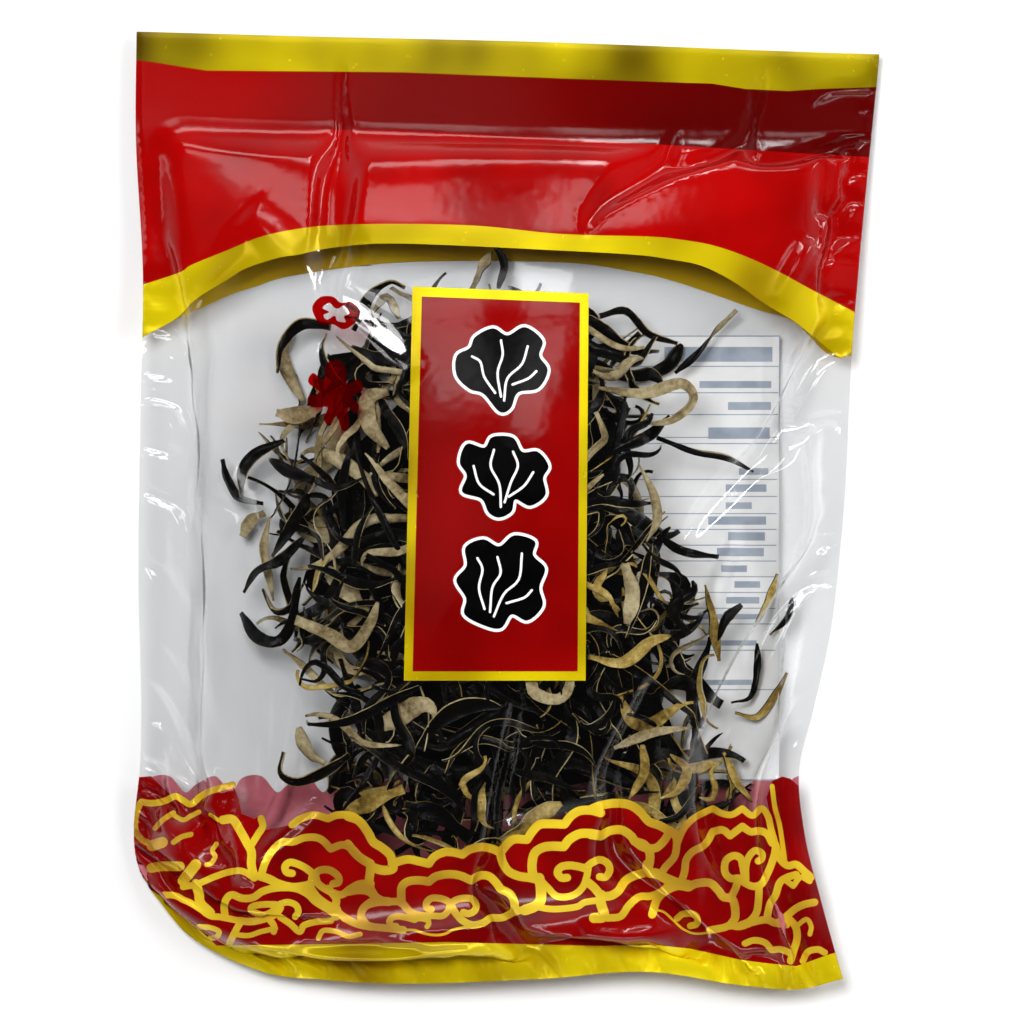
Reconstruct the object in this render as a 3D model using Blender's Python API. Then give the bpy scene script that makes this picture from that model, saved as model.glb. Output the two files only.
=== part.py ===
"""A clear sealed packet of dried wood ear strips, lying on its back.

Metres, +Z up, +Y towards the packet's header. The origin is on the surface that the packet
lies on, under the middle of its outline. Two film webs are welded along all four edges and
hold a tangle of dried strips: the strips that stand clear of the tangle are pieces of their
own, and the rest is one solid of the tangle's form.
"""

import math

import bmesh
import bpy
import numpy as np
from mathutils import Vector
from mathutils.bvhtree import BVHTree

MM = 0.001

# Packet
FILM = 0.25 * MM
WELD_GAP = 0.35 * MM
FULL_THICKNESS = 31.0 * MM
SIDE_WELD = 0.925
BOTTOM_WELD = -0.915
HEADER_WELD = 0.79
COLUMNS = 19
ROWS = 24

# Outline in plan, in mm: (share of the way up, x, y) for the sides, (share across, x, y) for the ends
LEFT_EDGE = (
    (0.0, -81.2, -87.7),
    (0.07, -84.4, -81.5),
    (0.15, -85.2, -72.0),
    (0.22, -83.8, -59.6),
    (0.44, -83.9, -11.6),
    (0.61, -83.4, 24.9),
    (0.74, -83.0, 52.3),
    (0.90, -84.8, 87.5),
    (1.0, -84.6, 109.4),
)
RIGHT_EDGE = (
    (0.0, 76.8, -107.1),
    (0.085, 71.8, -89.3),
    (0.16, 67.9, -73.3),
    (0.223, 66.8, -59.6),
    (0.288, 70.0, -45.9),
    (0.363, 73.6, -29.9),
    (0.47, 76.4, -7.1),
    (0.67, 78.9, 35.2),
    (1.0, 85.5, 104.3),
)
BOTTOM_EDGE = (
    (0.0, -81.2, -87.7),
    (0.06, -73.4, -97.0),
    (0.15, -57.0, -105.4),
    (0.25, -41.2, -107.5),
    (0.55, 7.9, -107.1),
    (0.71, 32.8, -105.5),
    (0.85, 54.9, -108.7),
    (0.935, 67.2, -109.4),
    (1.0, 76.8, -107.1),
)
TOP_EDGE = (
    (0.0, -84.6, 109.4),
    (0.49, -1.3, 107.3),
    (1.0, 85.5, 104.3),
)

# Middle of that outline's bounding box, in mm, brought to the origin
OUTLINE_MIDDLE = (0.13, -0.065)

# Heights of the welded rim above the surface
RIM_SIDE = 8.5 * MM
RIM_HEADER = 3.2 * MM
RIM_CORNER = 1.6 * MM
HEADER_WAVE = 1.1 * MM
CONTACT_THICKNESS = 14.0 * MM

# Tangle
TANGLE_COVER = 7.0 * MM
TANGLE_FLOOR = 0.9 * MM
TANGLE_RELIEF = 0.9 * MM
TANGLE_RINGS = (0.28, 0.52, 0.72, 0.87, 0.96)
TANGLE_SIDES = 46
TANGLE_CENTRE = (0.5, -22.0)
TANGLE_OUTLINE = (
    (-47.0, 26.0),
    (-36.6, 36.3),
    (-24.1, 47.7),
    (-8.1, 49.0),
    (8.0, 49.3),
    (21.6, 42.7),
    (33.0, 36.0),
    (36.0, 24.9),
    (32.0, 12.0),
    (32.0, 0.5),
    (37.1, -11.6),
    (44.4, -23.1),
    (45.5, -39.0),
    (47.8, -52.7),
    (52.4, -65.3),
    (42.1, -72.8),
    (21.6, -77.9),
    (-1.3, -78.3),
    (-24.1, -71.5),
    (-40.1, -66.4),
    (-35.0, -52.7),
    (-43.5, -39.0),
    (-46.9, -25.3),
    (-44.6, -11.6),
    (-49.2, -0.2),
    (-52.6, 13.5),
)

# Strips
STRIP_THICKNESS = 0.8 * MM
STRIP_CLEARANCE = 0.4 * MM
STATION_STEP = 2.6 * MM
LEVELS = 26

# name: plan route in mm, width in mm, roll at each end in degrees (0 dark face up, 180 pale
# face up), and where between the two films it would like to lie, 0 at the back and 1 in front
STRIPS = {
    "strip_left_hook": (((-65.0, 11.6), (-63.8, 6.6), (-61.1, 2.5), (-55.6, 1.4)), 3.2, 15, 60, 0.5),
    "strip_left_arch": (((-60.6, 3.0), (-60.4, 8.9), (-56.7, 13.2), (-50.6, 15.8)), 3.4, 50, 20, 0.7),
    "strip_left_curl": (((-55.4, -0.7), (-58.6, -2.5), (-60.4, -6.2)), 3.6, 165, 200, 0.4),
    "strip_left_tail": (((-54.2, -1.6), (-55.6, -8.9), (-54.2, -16.2), (-53.3, -20.8)), 2.6, 160, 185, 0.3),
    "strip_left_slope": (((-45.5, 3.9), (-49.2, -4.3), (-53.3, -10.7)), 3.6, 10, 30, 0.8),
    "strip_left_sickle": (((-46.0, -6.2), (-51.5, -11.6), (-57.0, -14.2), (-59.9, -18.9)), 3.2, 20, 50, 0.8),
    "strip_left_cup": (((-55.6, -18.0), (-52.9, -22.8), (-49.0, -21.7), (-47.1, -15.3)), 3.0, 70, 40, 0.5),
    "strip_left_bow": (
        ((-60.6, -23.5), (-57.0, -28.8), (-51.9, -29.9), (-48.7, -25.3), (-47.6, -18.0)), 3.6, 40, 20, 0.4),
    "strip_left_swan": (
        ((-47.8, -24.9), (-40.5, -28.1), (-35.0, -31.1), (-30.9, -25.8), (-29.1, -20.8)), 4.0, 185, 160, 0.9),
    "strip_low_hook": (
        ((-50.6, -55.0), (-51.3, -59.6), (-47.8, -61.6), (-41.9, -59.6), (-35.5, -55.5)), 3.2, 50, 10, 0.8),
    "strip_low_stub": (((-47.4, -49.5), (-45.5, -55.0), (-41.4, -57.8)), 3.8, 175, 200, 0.5),
    "strip_low_scoop": (((-36.4, -68.3), (-30.9, -66.2), (-23.2, -63.0)), 4.4, 180, 170, 0.9),
    "strip_low_fan": (((-8.1, -74.4), (-15.0, -69.2), (-22.9, -66.4)), 5.2, 10, -15, 0.9),
    "strip_low_wide": (((12.4, -66.4), (5.6, -69.9), (-1.3, -75.1)), 5.0, 165, 180, 0.9),
    "strip_crown_left": (((-52.4, 31.3), (-51.5, 37.7), (-46.9, 42.5), (-40.1, 41.8)), 3.6, 60, 20, 0.7),
    "strip_crown_tan": (((-49.2, 40.9), (-51.5, 35.8), (-49.2, 29.9), (-46.5, 24.9)), 3.8, 190, 150, 0.4),
    "strip_crown_horn": (((-41.0, 40.2), (-42.1, 36.3), (-40.1, 31.3), (-36.6, 28.1)), 3.0, 50, 15, 0.8),
    "strip_crown_arc": (((-35.0, 40.9), (-31.4, 48.6), (-26.8, 52.1), (-23.2, 50.7)), 3.0, 30, 55, 0.6),
    "strip_crown_fork": (((-30.5, 45.0), (-27.3, 48.2), (-24.5, 43.6)), 2.8, 170, 150, 0.8),
    "strip_brow_tan": (((-52.4, 22.1), (-47.8, 21.5), (-41.9, 23.1)), 4.6, 170, 190, 0.9),
    "strip_brow_c": (((-26.8, 26.7), (-31.4, 25.3), (-31.2, 19.4), (-26.8, 13.9)), 4.6, 175, 200, 0.9),
    "strip_top_loop_a": (((-8.1, 50.0), (-5.8, 54.6), (-3.5, 59.1)), 3.0, 160, 130, 0.6),
    "strip_top_loop_b": (((-3.1, 61.0), (-0.4, 56.5), (-1.9, 50.6)), 3.0, 60, 30, 0.4),
    "strip_right_brow": (((21.1, 44.1), (27.1, 45.2), (32.1, 40.0), (38.9, 37.9)), 3.8, 20, 60, 0.7),
    "strip_right_flag": (((52.6, 45.7), (47.4, 40.4), (43.9, 35.8), (38.5, 31.3)), 3.2, 150, 15, 0.25),
    "strip_right_hoop": (
        ((20.7, 27.6), (30.7, 26.3), (39.4, 28.5), (42.1, 24.9), (37.1, 20.3), (29.3, 19.4)), 4.2, 172, 140, 0.95),
    "strip_right_blade": (((40.2, 38.0), (36.6, 32.9), (30.5, 30.3)), 5.0, 10, 0, 0.7),
    "strip_right_spear": (((34.1, 16.4), (42.1, 13.5), (49.9, 12.1), (56.3, 8.7)), 3.0, 15, 65, 0.7),
    "strip_right_s": (((29.8, 10.7), (33.4, 3.0), (34.1, -2.5), (31.6, -7.1)), 3.2, 195, 140, 0.9),
    "strip_right_diag": (((34.2, -5.6), (39.6, -9.4), (48.1, -10.7)), 3.2, 25, 15, 0.8),
    "strip_right_plank": (((26.6, -12.1), (28.4, -18.9), (27.1, -25.8)), 5.2, 182, 174, 0.95),
    "strip_right_swash": (((18.4, -33.1), (26.1, -34.5), (32.5, -29.9), (37.1, -28.5)), 4.2, 175, 190, 0.95),
    "strip_sprig_tan": (((61.8, -14.6), (59.5, -21.2), (56.3, -26.7)), 2.6, 165, 150, 0.6),
    "strip_sprig_dark": (((65.2, -19.9), (64.0, -24.6), (60.2, -28.6)), 2.4, 20, 60, 0.5),
    "strip_sprig_thumb": (((53.5, -21.7), (49.9, -24.9), (48.1, -29.9)), 3.4, 15, 30, 0.7),
    "strip_sprig_leg": (((57.2, -30.5), (57.4, -36.3), (55.8, -42.7), (51.3, -44.1)), 2.8, 20, 55, 0.4),
    "strip_sprig_long": (((64.0, -37.2), (61.3, -42.2), (57.2, -47.3), (52.2, -46.4)), 2.6, 170, 150, 0.8),
    "strip_right_quill": (((45.3, -17.1), (46.9, -25.3), (48.5, -34.5)), 3.4, 160, 185, 0.6),
    "strip_low_quill": (((30.7, -53.2), (30.9, -59.6), (27.5, -65.5)), 3.6, 182, 165, 0.95),
    "strip_low_comma": (((37.1, -55.5), (40.8, -59.1), (38.9, -63.7), (34.8, -65.5)), 3.4, 165, 190, 0.95),
    "strip_low_root": (((49.4, -55.5), (52.6, -62.3), (56.3, -66.9)), 3.0, 160, 175, 0.6),
    "strip_low_dart": (((24.3, -53.9), (33.0, -50.6), (42.1, -49.4)), 3.2, 175, 160, 0.9),
}

FILM_COLOUR = (0.88, 0.89, 0.90, 0.3)
DARK_FACE = (0.028, 0.022, 0.018, 1.0)
PALE_FACE = (0.42, 0.32, 0.18, 1.0)


def clear_scene():
    """Leaves no object of the start-up scene."""
    for item in list(bpy.data.objects):
        bpy.data.objects.remove(item)


def material(name, colour, roughness):
    """A Principled material of one colour."""
    made = bpy.data.materials.new(name)
    made.use_nodes = True
    shader = made.node_tree.nodes["Principled BSDF"]
    shader.inputs["Base Color"].default_value = colour
    shader.inputs["Alpha"].default_value = colour[3]
    shader.inputs["Roughness"].default_value = roughness
    shader.inputs["Metallic"].default_value = 0.0
    return made


def through(table, share):
    """The x and y, in metres, of a smooth curve through an edge's points at each share of its way."""
    points = np.array(table, float)
    at, places = points[:, 0], points[:, 1:] * MM
    slopes = np.gradient(places, at, axis=0)
    share = np.clip(np.asarray(share, float), at[0], at[-1])
    i = np.clip(np.searchsorted(at, share, side="right") - 1, 0, len(at) - 2)
    step = at[i + 1] - at[i]
    t = ((share - at[i]) / step)[..., None]
    step = step[..., None]
    return (
        places[i] * (2 * t**3 - 3 * t**2 + 1)
        + slopes[i] * step * (t**3 - 2 * t**2 + t)
        + places[i + 1] * (3 * t**2 - 2 * t**3)
        + slopes[i + 1] * step * (t**3 - t**2)
    )


def plan(u, v):
    """Plan position of the place (u, v) of the packet, each from -1 to 1: a Coons patch of its edges."""
    s, t = (np.asarray(u, float) + 1) / 2, (np.asarray(v, float) + 1) / 2
    left, right = through(LEFT_EDGE, t), through(RIGHT_EDGE, t)
    bottom, top = through(BOTTOM_EDGE, s), through(TOP_EDGE, s)
    s, t = s[..., None], t[..., None]
    corners = [np.array(table[i][1:]) * MM for table in (BOTTOM_EDGE, TOP_EDGE) for i in (0, -1)]
    low = corners[0] * (1 - s) + corners[1] * s
    high = corners[2] * (1 - s) + corners[3] * s
    sides = left * (1 - s) + right * s
    ends = (bottom - low) * (1 - t) + (top - high) * t
    return sides + ends - np.array(OUTLINE_MIDDLE) * MM


def place_of(x, y):
    """The (u, v) whose plan position is (x, y), found by repeated correction."""
    half = np.array((80.0, 107.0)) * MM
    target = np.stack([np.asarray(x, float), np.asarray(y, float)], -1)
    uv = np.clip(target / half, -1, 1)
    for _ in range(14):
        uv = np.clip(uv + (target - plan(uv[..., 0], uv[..., 1])) / half, -1, 1)
    return uv[..., 0], uv[..., 1]


def smooth_step(low, high, value):
    t = np.clip((value - low) / (high - low), 0, 1)
    return t * t * (3 - 2 * t)


def bulge(u, v):
    """Thickness of the packet inside its welds, from film to film."""
    across = np.clip((u + SIDE_WELD) / (2 * SIDE_WELD), 0, 1)
    up = np.clip((v - BOTTOM_WELD) / (HEADER_WELD - BOTTOM_WELD), 0, 1)
    swell = (4 * across * (1 - across)) ** 0.8
    low, high = 0.6, 0.95
    peak = low / (low + high)
    swell_up = (up**low * (1 - up) ** high) / (peak**low * (1 - peak) ** high)
    return FULL_THICKNESS * swell * swell_up


def rim_height(u, v):
    """Height of the weld's middle above the surface: it droops at the header and one corner."""
    height = RIM_SIDE + (RIM_HEADER - RIM_SIDE) * smooth_step(0.1, 0.95, v)
    height = height + HEADER_WAVE * np.sin(5.2 * u + 0.9) * smooth_step(0.55, 0.95, v)
    corner = np.exp(-((u + 1) ** 2 + (v + 1) ** 2) / 0.22)
    return height + (RIM_CORNER - height) * corner


def back_outside(u, v):
    """Height of the back film's outside face: level on the surface under the full part."""
    lift = 1 - smooth_step(0, CONTACT_THICKNESS, bulge(u, v))
    return (rim_height(u, v) - FILM - WELD_GAP / 2) * lift


def front_outside(u, v):
    """Height of the front film's outside face."""
    return back_outside(u, v) + 2 * FILM + WELD_GAP + bulge(u, v)


def new_object(name, points, faces, finish):
    mesh = bpy.data.meshes.new(name)
    mesh.from_pydata([tuple(p) for p in points], [], faces)
    mesh.materials.append(finish)
    mesh.update()
    made = bpy.data.objects.new(name, mesh)
    bpy.context.scene.collection.objects.link(made)
    return made


def spread(low, high, count):
    return list(np.linspace(low, high, count))


def film(name, height, facing_up, finish):
    """One web of the packet, from header to bottom weld, thickened towards the inside."""
    us = [-1, *spread(-SIDE_WELD, SIDE_WELD, COLUMNS), 1]
    vs = [-1, *spread(BOTTOM_WELD, HEADER_WELD, ROWS), 1]
    grid_u, grid_v = np.meshgrid(us, vs)
    xy = plan(grid_u, grid_v)
    z = height(grid_u, grid_v)
    points = np.dstack([xy, z]).reshape(-1, 3)
    width = len(us)
    faces = []
    for row in range(len(vs) - 1):
        for column in range(width - 1):
            a = row * width + column
            quad = (a, a + 1, a + 1 + width, a + width)
            faces.append(quad if facing_up else quad[::-1])
    made = new_object(name, points, faces, finish)
    made.data.shade_smooth()
    wall = made.modifiers.new("wall", "SOLIDIFY")
    wall.thickness = FILM
    wall.offset = -1
    return made


def closed_curve(points, count):
    """Points spaced evenly in angle round the tangle's centre, on its outline."""
    centre = np.array(TANGLE_CENTRE)
    around = np.array(points, float) - centre
    angle = np.unwrap(np.arctan2(around[:, 1], around[:, 0]))
    radius = np.hypot(around[:, 0], around[:, 1])
    order = np.argsort(angle)
    angle, radius = angle[order], radius[order]
    wanted = angle[0] + np.arange(count) * 2 * math.pi / count
    return wanted, np.interp(wanted, angle, radius, period=2 * math.pi)


def relief(x, y):
    """Low ridges along the lie of the strips."""
    a = np.sin((x * 0.9 + y * 0.5) * 420 + 2.0 * np.sin(y * 90))
    b = np.sin((y * 0.8 - x * 0.6) * 350 + 2.0 * np.sin(x * 110))
    return TANGLE_RELIEF * 0.5 * (a + b)


def tangle_ring(share, side):
    """One ring of the tangle's surface: at a share of its outline's radius, above or below its middle."""
    angles, radii = closed_curve(TANGLE_OUTLINE, TANGLE_SIDES)
    if share > 0.9:
        radii = radii * (1 + 0.035 * (-1.0) ** np.arange(TANGLE_SIDES))
    x = (TANGLE_CENTRE[0] + radii * share * np.cos(angles)) * MM
    y = (TANGLE_CENTRE[1] + radii * share * np.sin(angles)) * MM
    u, v = place_of(x, y)
    low = back_outside(u, v) + FILM + TANGLE_FLOOR
    high = front_outside(u, v) - FILM - TANGLE_COVER + relief(x, y)
    high = np.maximum(high, low + 2.0 * MM)
    middle = low + 0.4 * (high - low)
    full = math.sqrt(max(0.0, 1 - share**8))
    z = middle + side * full * (high - middle if side > 0 else middle - low)
    return np.stack([x, y, z], 1)


def tangle(name, finish):
    """The tangle as one closed solid: two faces that follow the films and meet in a ragged rim."""
    rings = [tangle_ring(share, 1) for share in TANGLE_RINGS]
    rings.append(tangle_ring(1.0, 0))
    rings += [tangle_ring(share, -1) for share in reversed(TANGLE_RINGS)]
    hubs = [rings[0].mean(0), rings[-1].mean(0)]
    points = [*np.concatenate(rings), *hubs]
    faces = []
    for ring in range(len(rings) - 1):
        for i in range(TANGLE_SIDES):
            a = ring * TANGLE_SIDES + i
            b = ring * TANGLE_SIDES + (i + 1) % TANGLE_SIDES
            faces.append((a, a + TANGLE_SIDES, b + TANGLE_SIDES, b))
    for hub, ring in ((len(points) - 2, 0), (len(points) - 1, len(rings) - 1)):
        for i in range(TANGLE_SIDES):
            a = ring * TANGLE_SIDES + i
            b = ring * TANGLE_SIDES + (i + 1) % TANGLE_SIDES
            faces.append((hub, a, b) if ring == 0 else (hub, b, a))
    return new_object(name, points, faces, finish)


def route_points(route, step=STATION_STEP):
    """Stations along a Catmull-Rom curve through a strip's plan route, and their headings."""
    knots = [Vector(p) * MM for p in route]
    knots = [knots[0] * 2 - knots[1], *knots, knots[-1] * 2 - knots[-2]]
    stations = []
    for a, b, c, d in zip(knots, knots[1:], knots[2:], knots[3:]):
        pieces = max(1, round((c - b).length / step))
        for k in range(pieces):
            t = k / pieces
            stations.append(
                0.5
                * (2 * b + (c - a) * t + (2 * a - 5 * b + 4 * c - d) * t**2 + (3 * b - a - 3 * c + d) * t**3)
            )
    stations.append(knots[-2])
    headings = []
    for i in range(len(stations)):
        ahead = stations[min(i + 1, len(stations) - 1)] - stations[max(i - 1, 0)]
        headings.append(ahead.normalized())
    return stations, headings


def lie_of(route):
    """Stations of a strip, its headings there, and the insides of the two films under and over them."""
    stations, headings = route_points(route)
    xy = np.array([tuple(place) for place in stations])
    u, v = place_of(xy[:, 0], xy[:, 1])
    return stations, headings, back_outside(u, v) + FILM, front_outside(u, v) - FILM


def strip_mesh(lie, width, roll_start, roll_end, level, extra=0.0):
    """Points and faces of a twisted strip at a level between the films, grown all round by extra."""
    points = []
    last = len(lie[0]) - 1
    for i, (place, heading, floor, roof) in enumerate(zip(*lie)):
        share = i / last
        roll = math.radians(roll_start + (roll_end - roll_start) * share)
        half_width = width * MM / 2 * (0.62 + 0.38 * math.sin(math.pi * (0.12 + 0.76 * share)))
        half_thick = STRIP_THICKNESS / 2
        side = Vector((-heading.y, heading.x, 0)) * math.cos(roll) + Vector((0, 0, math.sin(roll)))
        normal = Vector((heading.x, heading.y, 0)).cross(side)
        reach = abs(side.z) * half_width + abs(normal.z) * half_thick + STRIP_CLEARANCE
        low, high = float(floor) + reach, float(roof) - reach
        z = low + (high - low) * level if high > low else (low + high) / 2
        centre = Vector((place.x, place.y, z))
        half_width += extra
        half_thick += extra
        for across, through_it in ((-1, -1), (1, -1), (1, 1), (-1, 1)):
            points.append(centre + side * (across * half_width) + normal * (through_it * half_thick))
    faces = [(0, 1, 2, 3)]
    for i in range(last):
        a = 4 * i
        for k in range(4):
            n = (k + 1) % 4
            faces.append((a + k, a + 4 + k, a + 4 + n, a + n))
    end = 4 * last
    faces.append((end + 3, end + 2, end + 1, end))
    return points, faces


def tree_of(points, faces):
    return BVHTree.FromPolygons([tuple(p) for p in points], faces)


def settle(name, shape, laid, finish):
    """Lays a strip at the free level nearest the one it would like, clear of what is laid already."""
    route, width, roll_start, roll_end, wish = shape
    lie = lie_of(route)
    levels = sorted((k / (LEVELS - 1) for k in range(LEVELS)), key=lambda level: abs(level - wish))
    for level in levels:
        grown = tree_of(*strip_mesh(lie, width, roll_start, roll_end, level, STRIP_CLEARANCE))
        if any(grown.overlap(other) for other in laid):
            continue
        points, faces = strip_mesh(lie, width, roll_start, roll_end, level)
        laid.append(tree_of(points, faces))
        made = new_object(name, points, faces, finish)
        face_outwards(made)
        return made
    raise ValueError(f"{name} has no free level between the films")


def face_outwards(made):
    """Turns a closed mesh's faces outwards."""
    mesh = bmesh.new()
    mesh.from_mesh(made.data)
    bmesh.ops.recalc_face_normals(mesh, faces=mesh.faces)
    mesh.to_mesh(made.data)
    mesh.free()


def tree_of_object(made):
    """The tree of an object's faces, its wall included."""
    graph = bpy.context.evaluated_depsgraph_get()
    mesh = made.evaluated_get(graph).to_mesh()
    return BVHTree.FromPolygons([v.co for v in mesh.vertices], [tuple(p.vertices) for p in mesh.polygons])


def main():
    clear_scene()
    clear_film = material("clear_film", FILM_COLOUR, 0.15)
    dark = material("dark_face", DARK_FACE, 0.45)
    pale = material("pale_face", PALE_FACE, 0.85)
    front = film("film_front", front_outside, True, clear_film)
    back = film("film_back", back_outside, False, clear_film)
    heap = tangle("strip_tangle", dark)
    face_outwards(heap)
    laid = [tree_of_object(made) for made in (front, back, heap)]
    for name, shape in STRIPS.items():
        pale_up = math.cos(math.radians((shape[2] + shape[3]) / 2)) < 0
        settle(name, shape, laid, pale if pale_up else dark)


main()
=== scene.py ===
"""Looks of a sealed clear packet of dried wood ear strips, lying on its back.

Millimetres are used throughout and turned to metres when a mesh is made. The film's shape, its
print and the strips' routes repeat the part's own tables, so each piece stays where its CAD
solid is.
"""

import math
from collections import namedtuple

import bpy
import numpy as np
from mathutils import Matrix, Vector
from mathutils.geometry import delaunay_2d_cdt


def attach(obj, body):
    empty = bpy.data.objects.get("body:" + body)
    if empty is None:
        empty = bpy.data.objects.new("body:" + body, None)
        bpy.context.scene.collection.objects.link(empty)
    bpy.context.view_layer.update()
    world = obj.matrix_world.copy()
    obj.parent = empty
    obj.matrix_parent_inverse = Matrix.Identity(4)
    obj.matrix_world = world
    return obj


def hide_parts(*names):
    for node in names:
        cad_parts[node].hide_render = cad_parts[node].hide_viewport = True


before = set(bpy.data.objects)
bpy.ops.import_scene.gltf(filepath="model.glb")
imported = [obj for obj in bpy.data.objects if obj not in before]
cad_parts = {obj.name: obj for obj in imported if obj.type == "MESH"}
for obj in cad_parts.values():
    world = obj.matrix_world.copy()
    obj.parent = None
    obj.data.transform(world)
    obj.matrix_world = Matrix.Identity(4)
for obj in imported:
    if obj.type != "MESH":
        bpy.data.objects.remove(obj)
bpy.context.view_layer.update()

MM = 0.001
TURN = 6.28

# Packet, as in the part: film and weld, the welds' places from -1 to 1, outline edges as (share of
# the way, x, y), and the heights of its rim
FILM = 0.25
WELD_GAP = 0.35
FULL_THICKNESS = 31.0
SIDE_WELD = 0.925
BOTTOM_WELD = -0.915
HEADER_WELD = 0.79
LEFT_EDGE = (
    (0.0, -81.2, -87.7),
    (0.07, -84.4, -81.5),
    (0.15, -85.2, -72.0),
    (0.22, -83.8, -59.6),
    (0.44, -83.9, -11.6),
    (0.61, -83.4, 24.9),
    (0.74, -83.0, 52.3),
    (0.90, -84.8, 87.5),
    (1.0, -84.6, 109.4),
)
RIGHT_EDGE = (
    (0.0, 76.8, -107.1),
    (0.085, 71.8, -89.3),
    (0.16, 67.9, -73.3),
    (0.223, 66.8, -59.6),
    (0.288, 70.0, -45.9),
    (0.363, 73.6, -29.9),
    (0.47, 76.4, -7.1),
    (0.67, 78.9, 35.2),
    (1.0, 85.5, 104.3),
)
BOTTOM_EDGE = (
    (0.0, -81.2, -87.7),
    (0.06, -73.4, -97.0),
    (0.15, -57.0, -105.4),
    (0.25, -41.2, -107.5),
    (0.55, 7.9, -107.1),
    (0.71, 32.8, -105.5),
    (0.85, 54.9, -108.7),
    (0.935, 67.2, -109.4),
    (1.0, 76.8, -107.1),
)
TOP_EDGE = (
    (0.0, -84.6, 109.4),
    (0.49, -1.3, 107.3),
    (1.0, 85.5, 104.3),
)
OUTLINE_MIDDLE = (0.13, -0.065)
HALF_SIZE = (80.0, 107.0)
RIM_SIDE = 8.5
RIM_HEADER = 3.2
RIM_CORNER = 1.6
HEADER_WAVE = 1.1
CONTACT_THICKNESS = 14.0

# Film: flat size of each web, drawn thickness, how far it may stray from the part's shape, its
# highest level, how far the webs' outer faces are apart at the welds, and a skin's point spacing
FLAT = (173.0, 225.0)
SKIN = 0.15
STRAY_HEIGHT = 3.2
STRAY_PLAN = 2.0
HIGHEST = 32.5
WELD_STACK = 0.85
SKIN_STEP = 1.3

# Settling of a web: grids from coarse to fine as (step, rounds, bending), how far the filling
# pushes it out in each round, the height of its first ripples, and the room over what it covers
GRIDS = ((6.0, 300, 0.012), (3.0, 600, 0.008), (1.5, 600, 0.004))
PUSH = 0.004
FIRST_RIPPLE = 0.9
FINE_RIPPLE = 0.1
CONTACT_ROOM = 0.35
NO_CONTACT = -50.0


def through(table, share):
    """Places on a smooth curve through an edge's points, at shares of its way."""
    points = np.array(table, float)
    at, places = points[:, 0], points[:, 1:]
    slopes = np.gradient(places, at, axis=0)
    share = np.clip(np.asarray(share, float), at[0], at[-1])
    i = np.clip(np.searchsorted(at, share, side="right") - 1, 0, len(at) - 2)
    step = at[i + 1] - at[i]
    t = ((share - at[i]) / step)[..., None]
    step = step[..., None]
    return (
        places[i] * (2 * t**3 - 3 * t**2 + 1)
        + slopes[i] * step * (t**3 - 2 * t**2 + t)
        + places[i + 1] * (3 * t**2 - 2 * t**3)
        + slopes[i + 1] * step * (t**3 - t**2)
    )


def plan(u, v):
    """Plan position of the place (u, v) of the packet, each from -1 to 1: a Coons patch of its edges."""
    s, t = (np.asarray(u, float) + 1) / 2, (np.asarray(v, float) + 1) / 2
    left, right = through(LEFT_EDGE, t), through(RIGHT_EDGE, t)
    bottom, top = through(BOTTOM_EDGE, s), through(TOP_EDGE, s)
    s, t = s[..., None], t[..., None]
    corners = [np.array(table[i][1:]) for table in (BOTTOM_EDGE, TOP_EDGE) for i in (0, -1)]
    low = corners[0] * (1 - s) + corners[1] * s
    high = corners[2] * (1 - s) + corners[3] * s
    sides = left * (1 - s) + right * s
    ends = (bottom - low) * (1 - t) + (top - high) * t
    return sides + ends - np.array(OUTLINE_MIDDLE)


def place_of(x, y):
    """The (u, v) whose plan position is (x, y), found by repeated correction."""
    half = np.array(HALF_SIZE)
    target = np.stack([np.asarray(x, float), np.asarray(y, float)], -1)
    uv = np.clip(target / half, -1, 1)
    for _ in range(14):
        uv = np.clip(uv + (target - plan(uv[..., 0], uv[..., 1])) / half, -1, 1)
    return uv[..., 0], uv[..., 1]


def smooth_step(low, high, value):
    """A smooth rise from 0 to 1 while a value goes from low to high."""
    t = np.clip((value - low) / (high - low), 0, 1)
    return t * t * (3 - 2 * t)


def bulge(u, v):
    """Thickness of the packet inside its welds, from film to film."""
    across = np.clip((u + SIDE_WELD) / (2 * SIDE_WELD), 0, 1)
    up = np.clip((v - BOTTOM_WELD) / (HEADER_WELD - BOTTOM_WELD), 0, 1)
    swell = (4 * across * (1 - across)) ** 0.8
    low, high = 0.6, 0.95
    peak = low / (low + high)
    swell_up = (up**low * (1 - up) ** high) / (peak**low * (1 - peak) ** high)
    return FULL_THICKNESS * swell * swell_up


def rim_height(u, v):
    """Height of the weld's middle above the surface: it droops at the header and one corner."""
    height = RIM_SIDE + (RIM_HEADER - RIM_SIDE) * smooth_step(0.1, 0.95, v)
    height = height + HEADER_WAVE * np.sin(5.2 * u + 0.9) * smooth_step(0.55, 0.95, v)
    corner = np.exp(-((u + 1) ** 2 + (v + 1) ** 2) / 0.22)
    return height + (RIM_CORNER - height) * corner


def back_outside(u, v):
    """Height of the back film's outside face: level on the surface under the full part."""
    lift = 1 - smooth_step(0, CONTACT_THICKNESS, bulge(u, v))
    return (rim_height(u, v) - FILM - WELD_GAP / 2) * lift


def front_outside(u, v):
    """Height of the front film's outside face."""
    return back_outside(u, v) + 2 * FILM + WELD_GAP + bulge(u, v)


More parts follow.
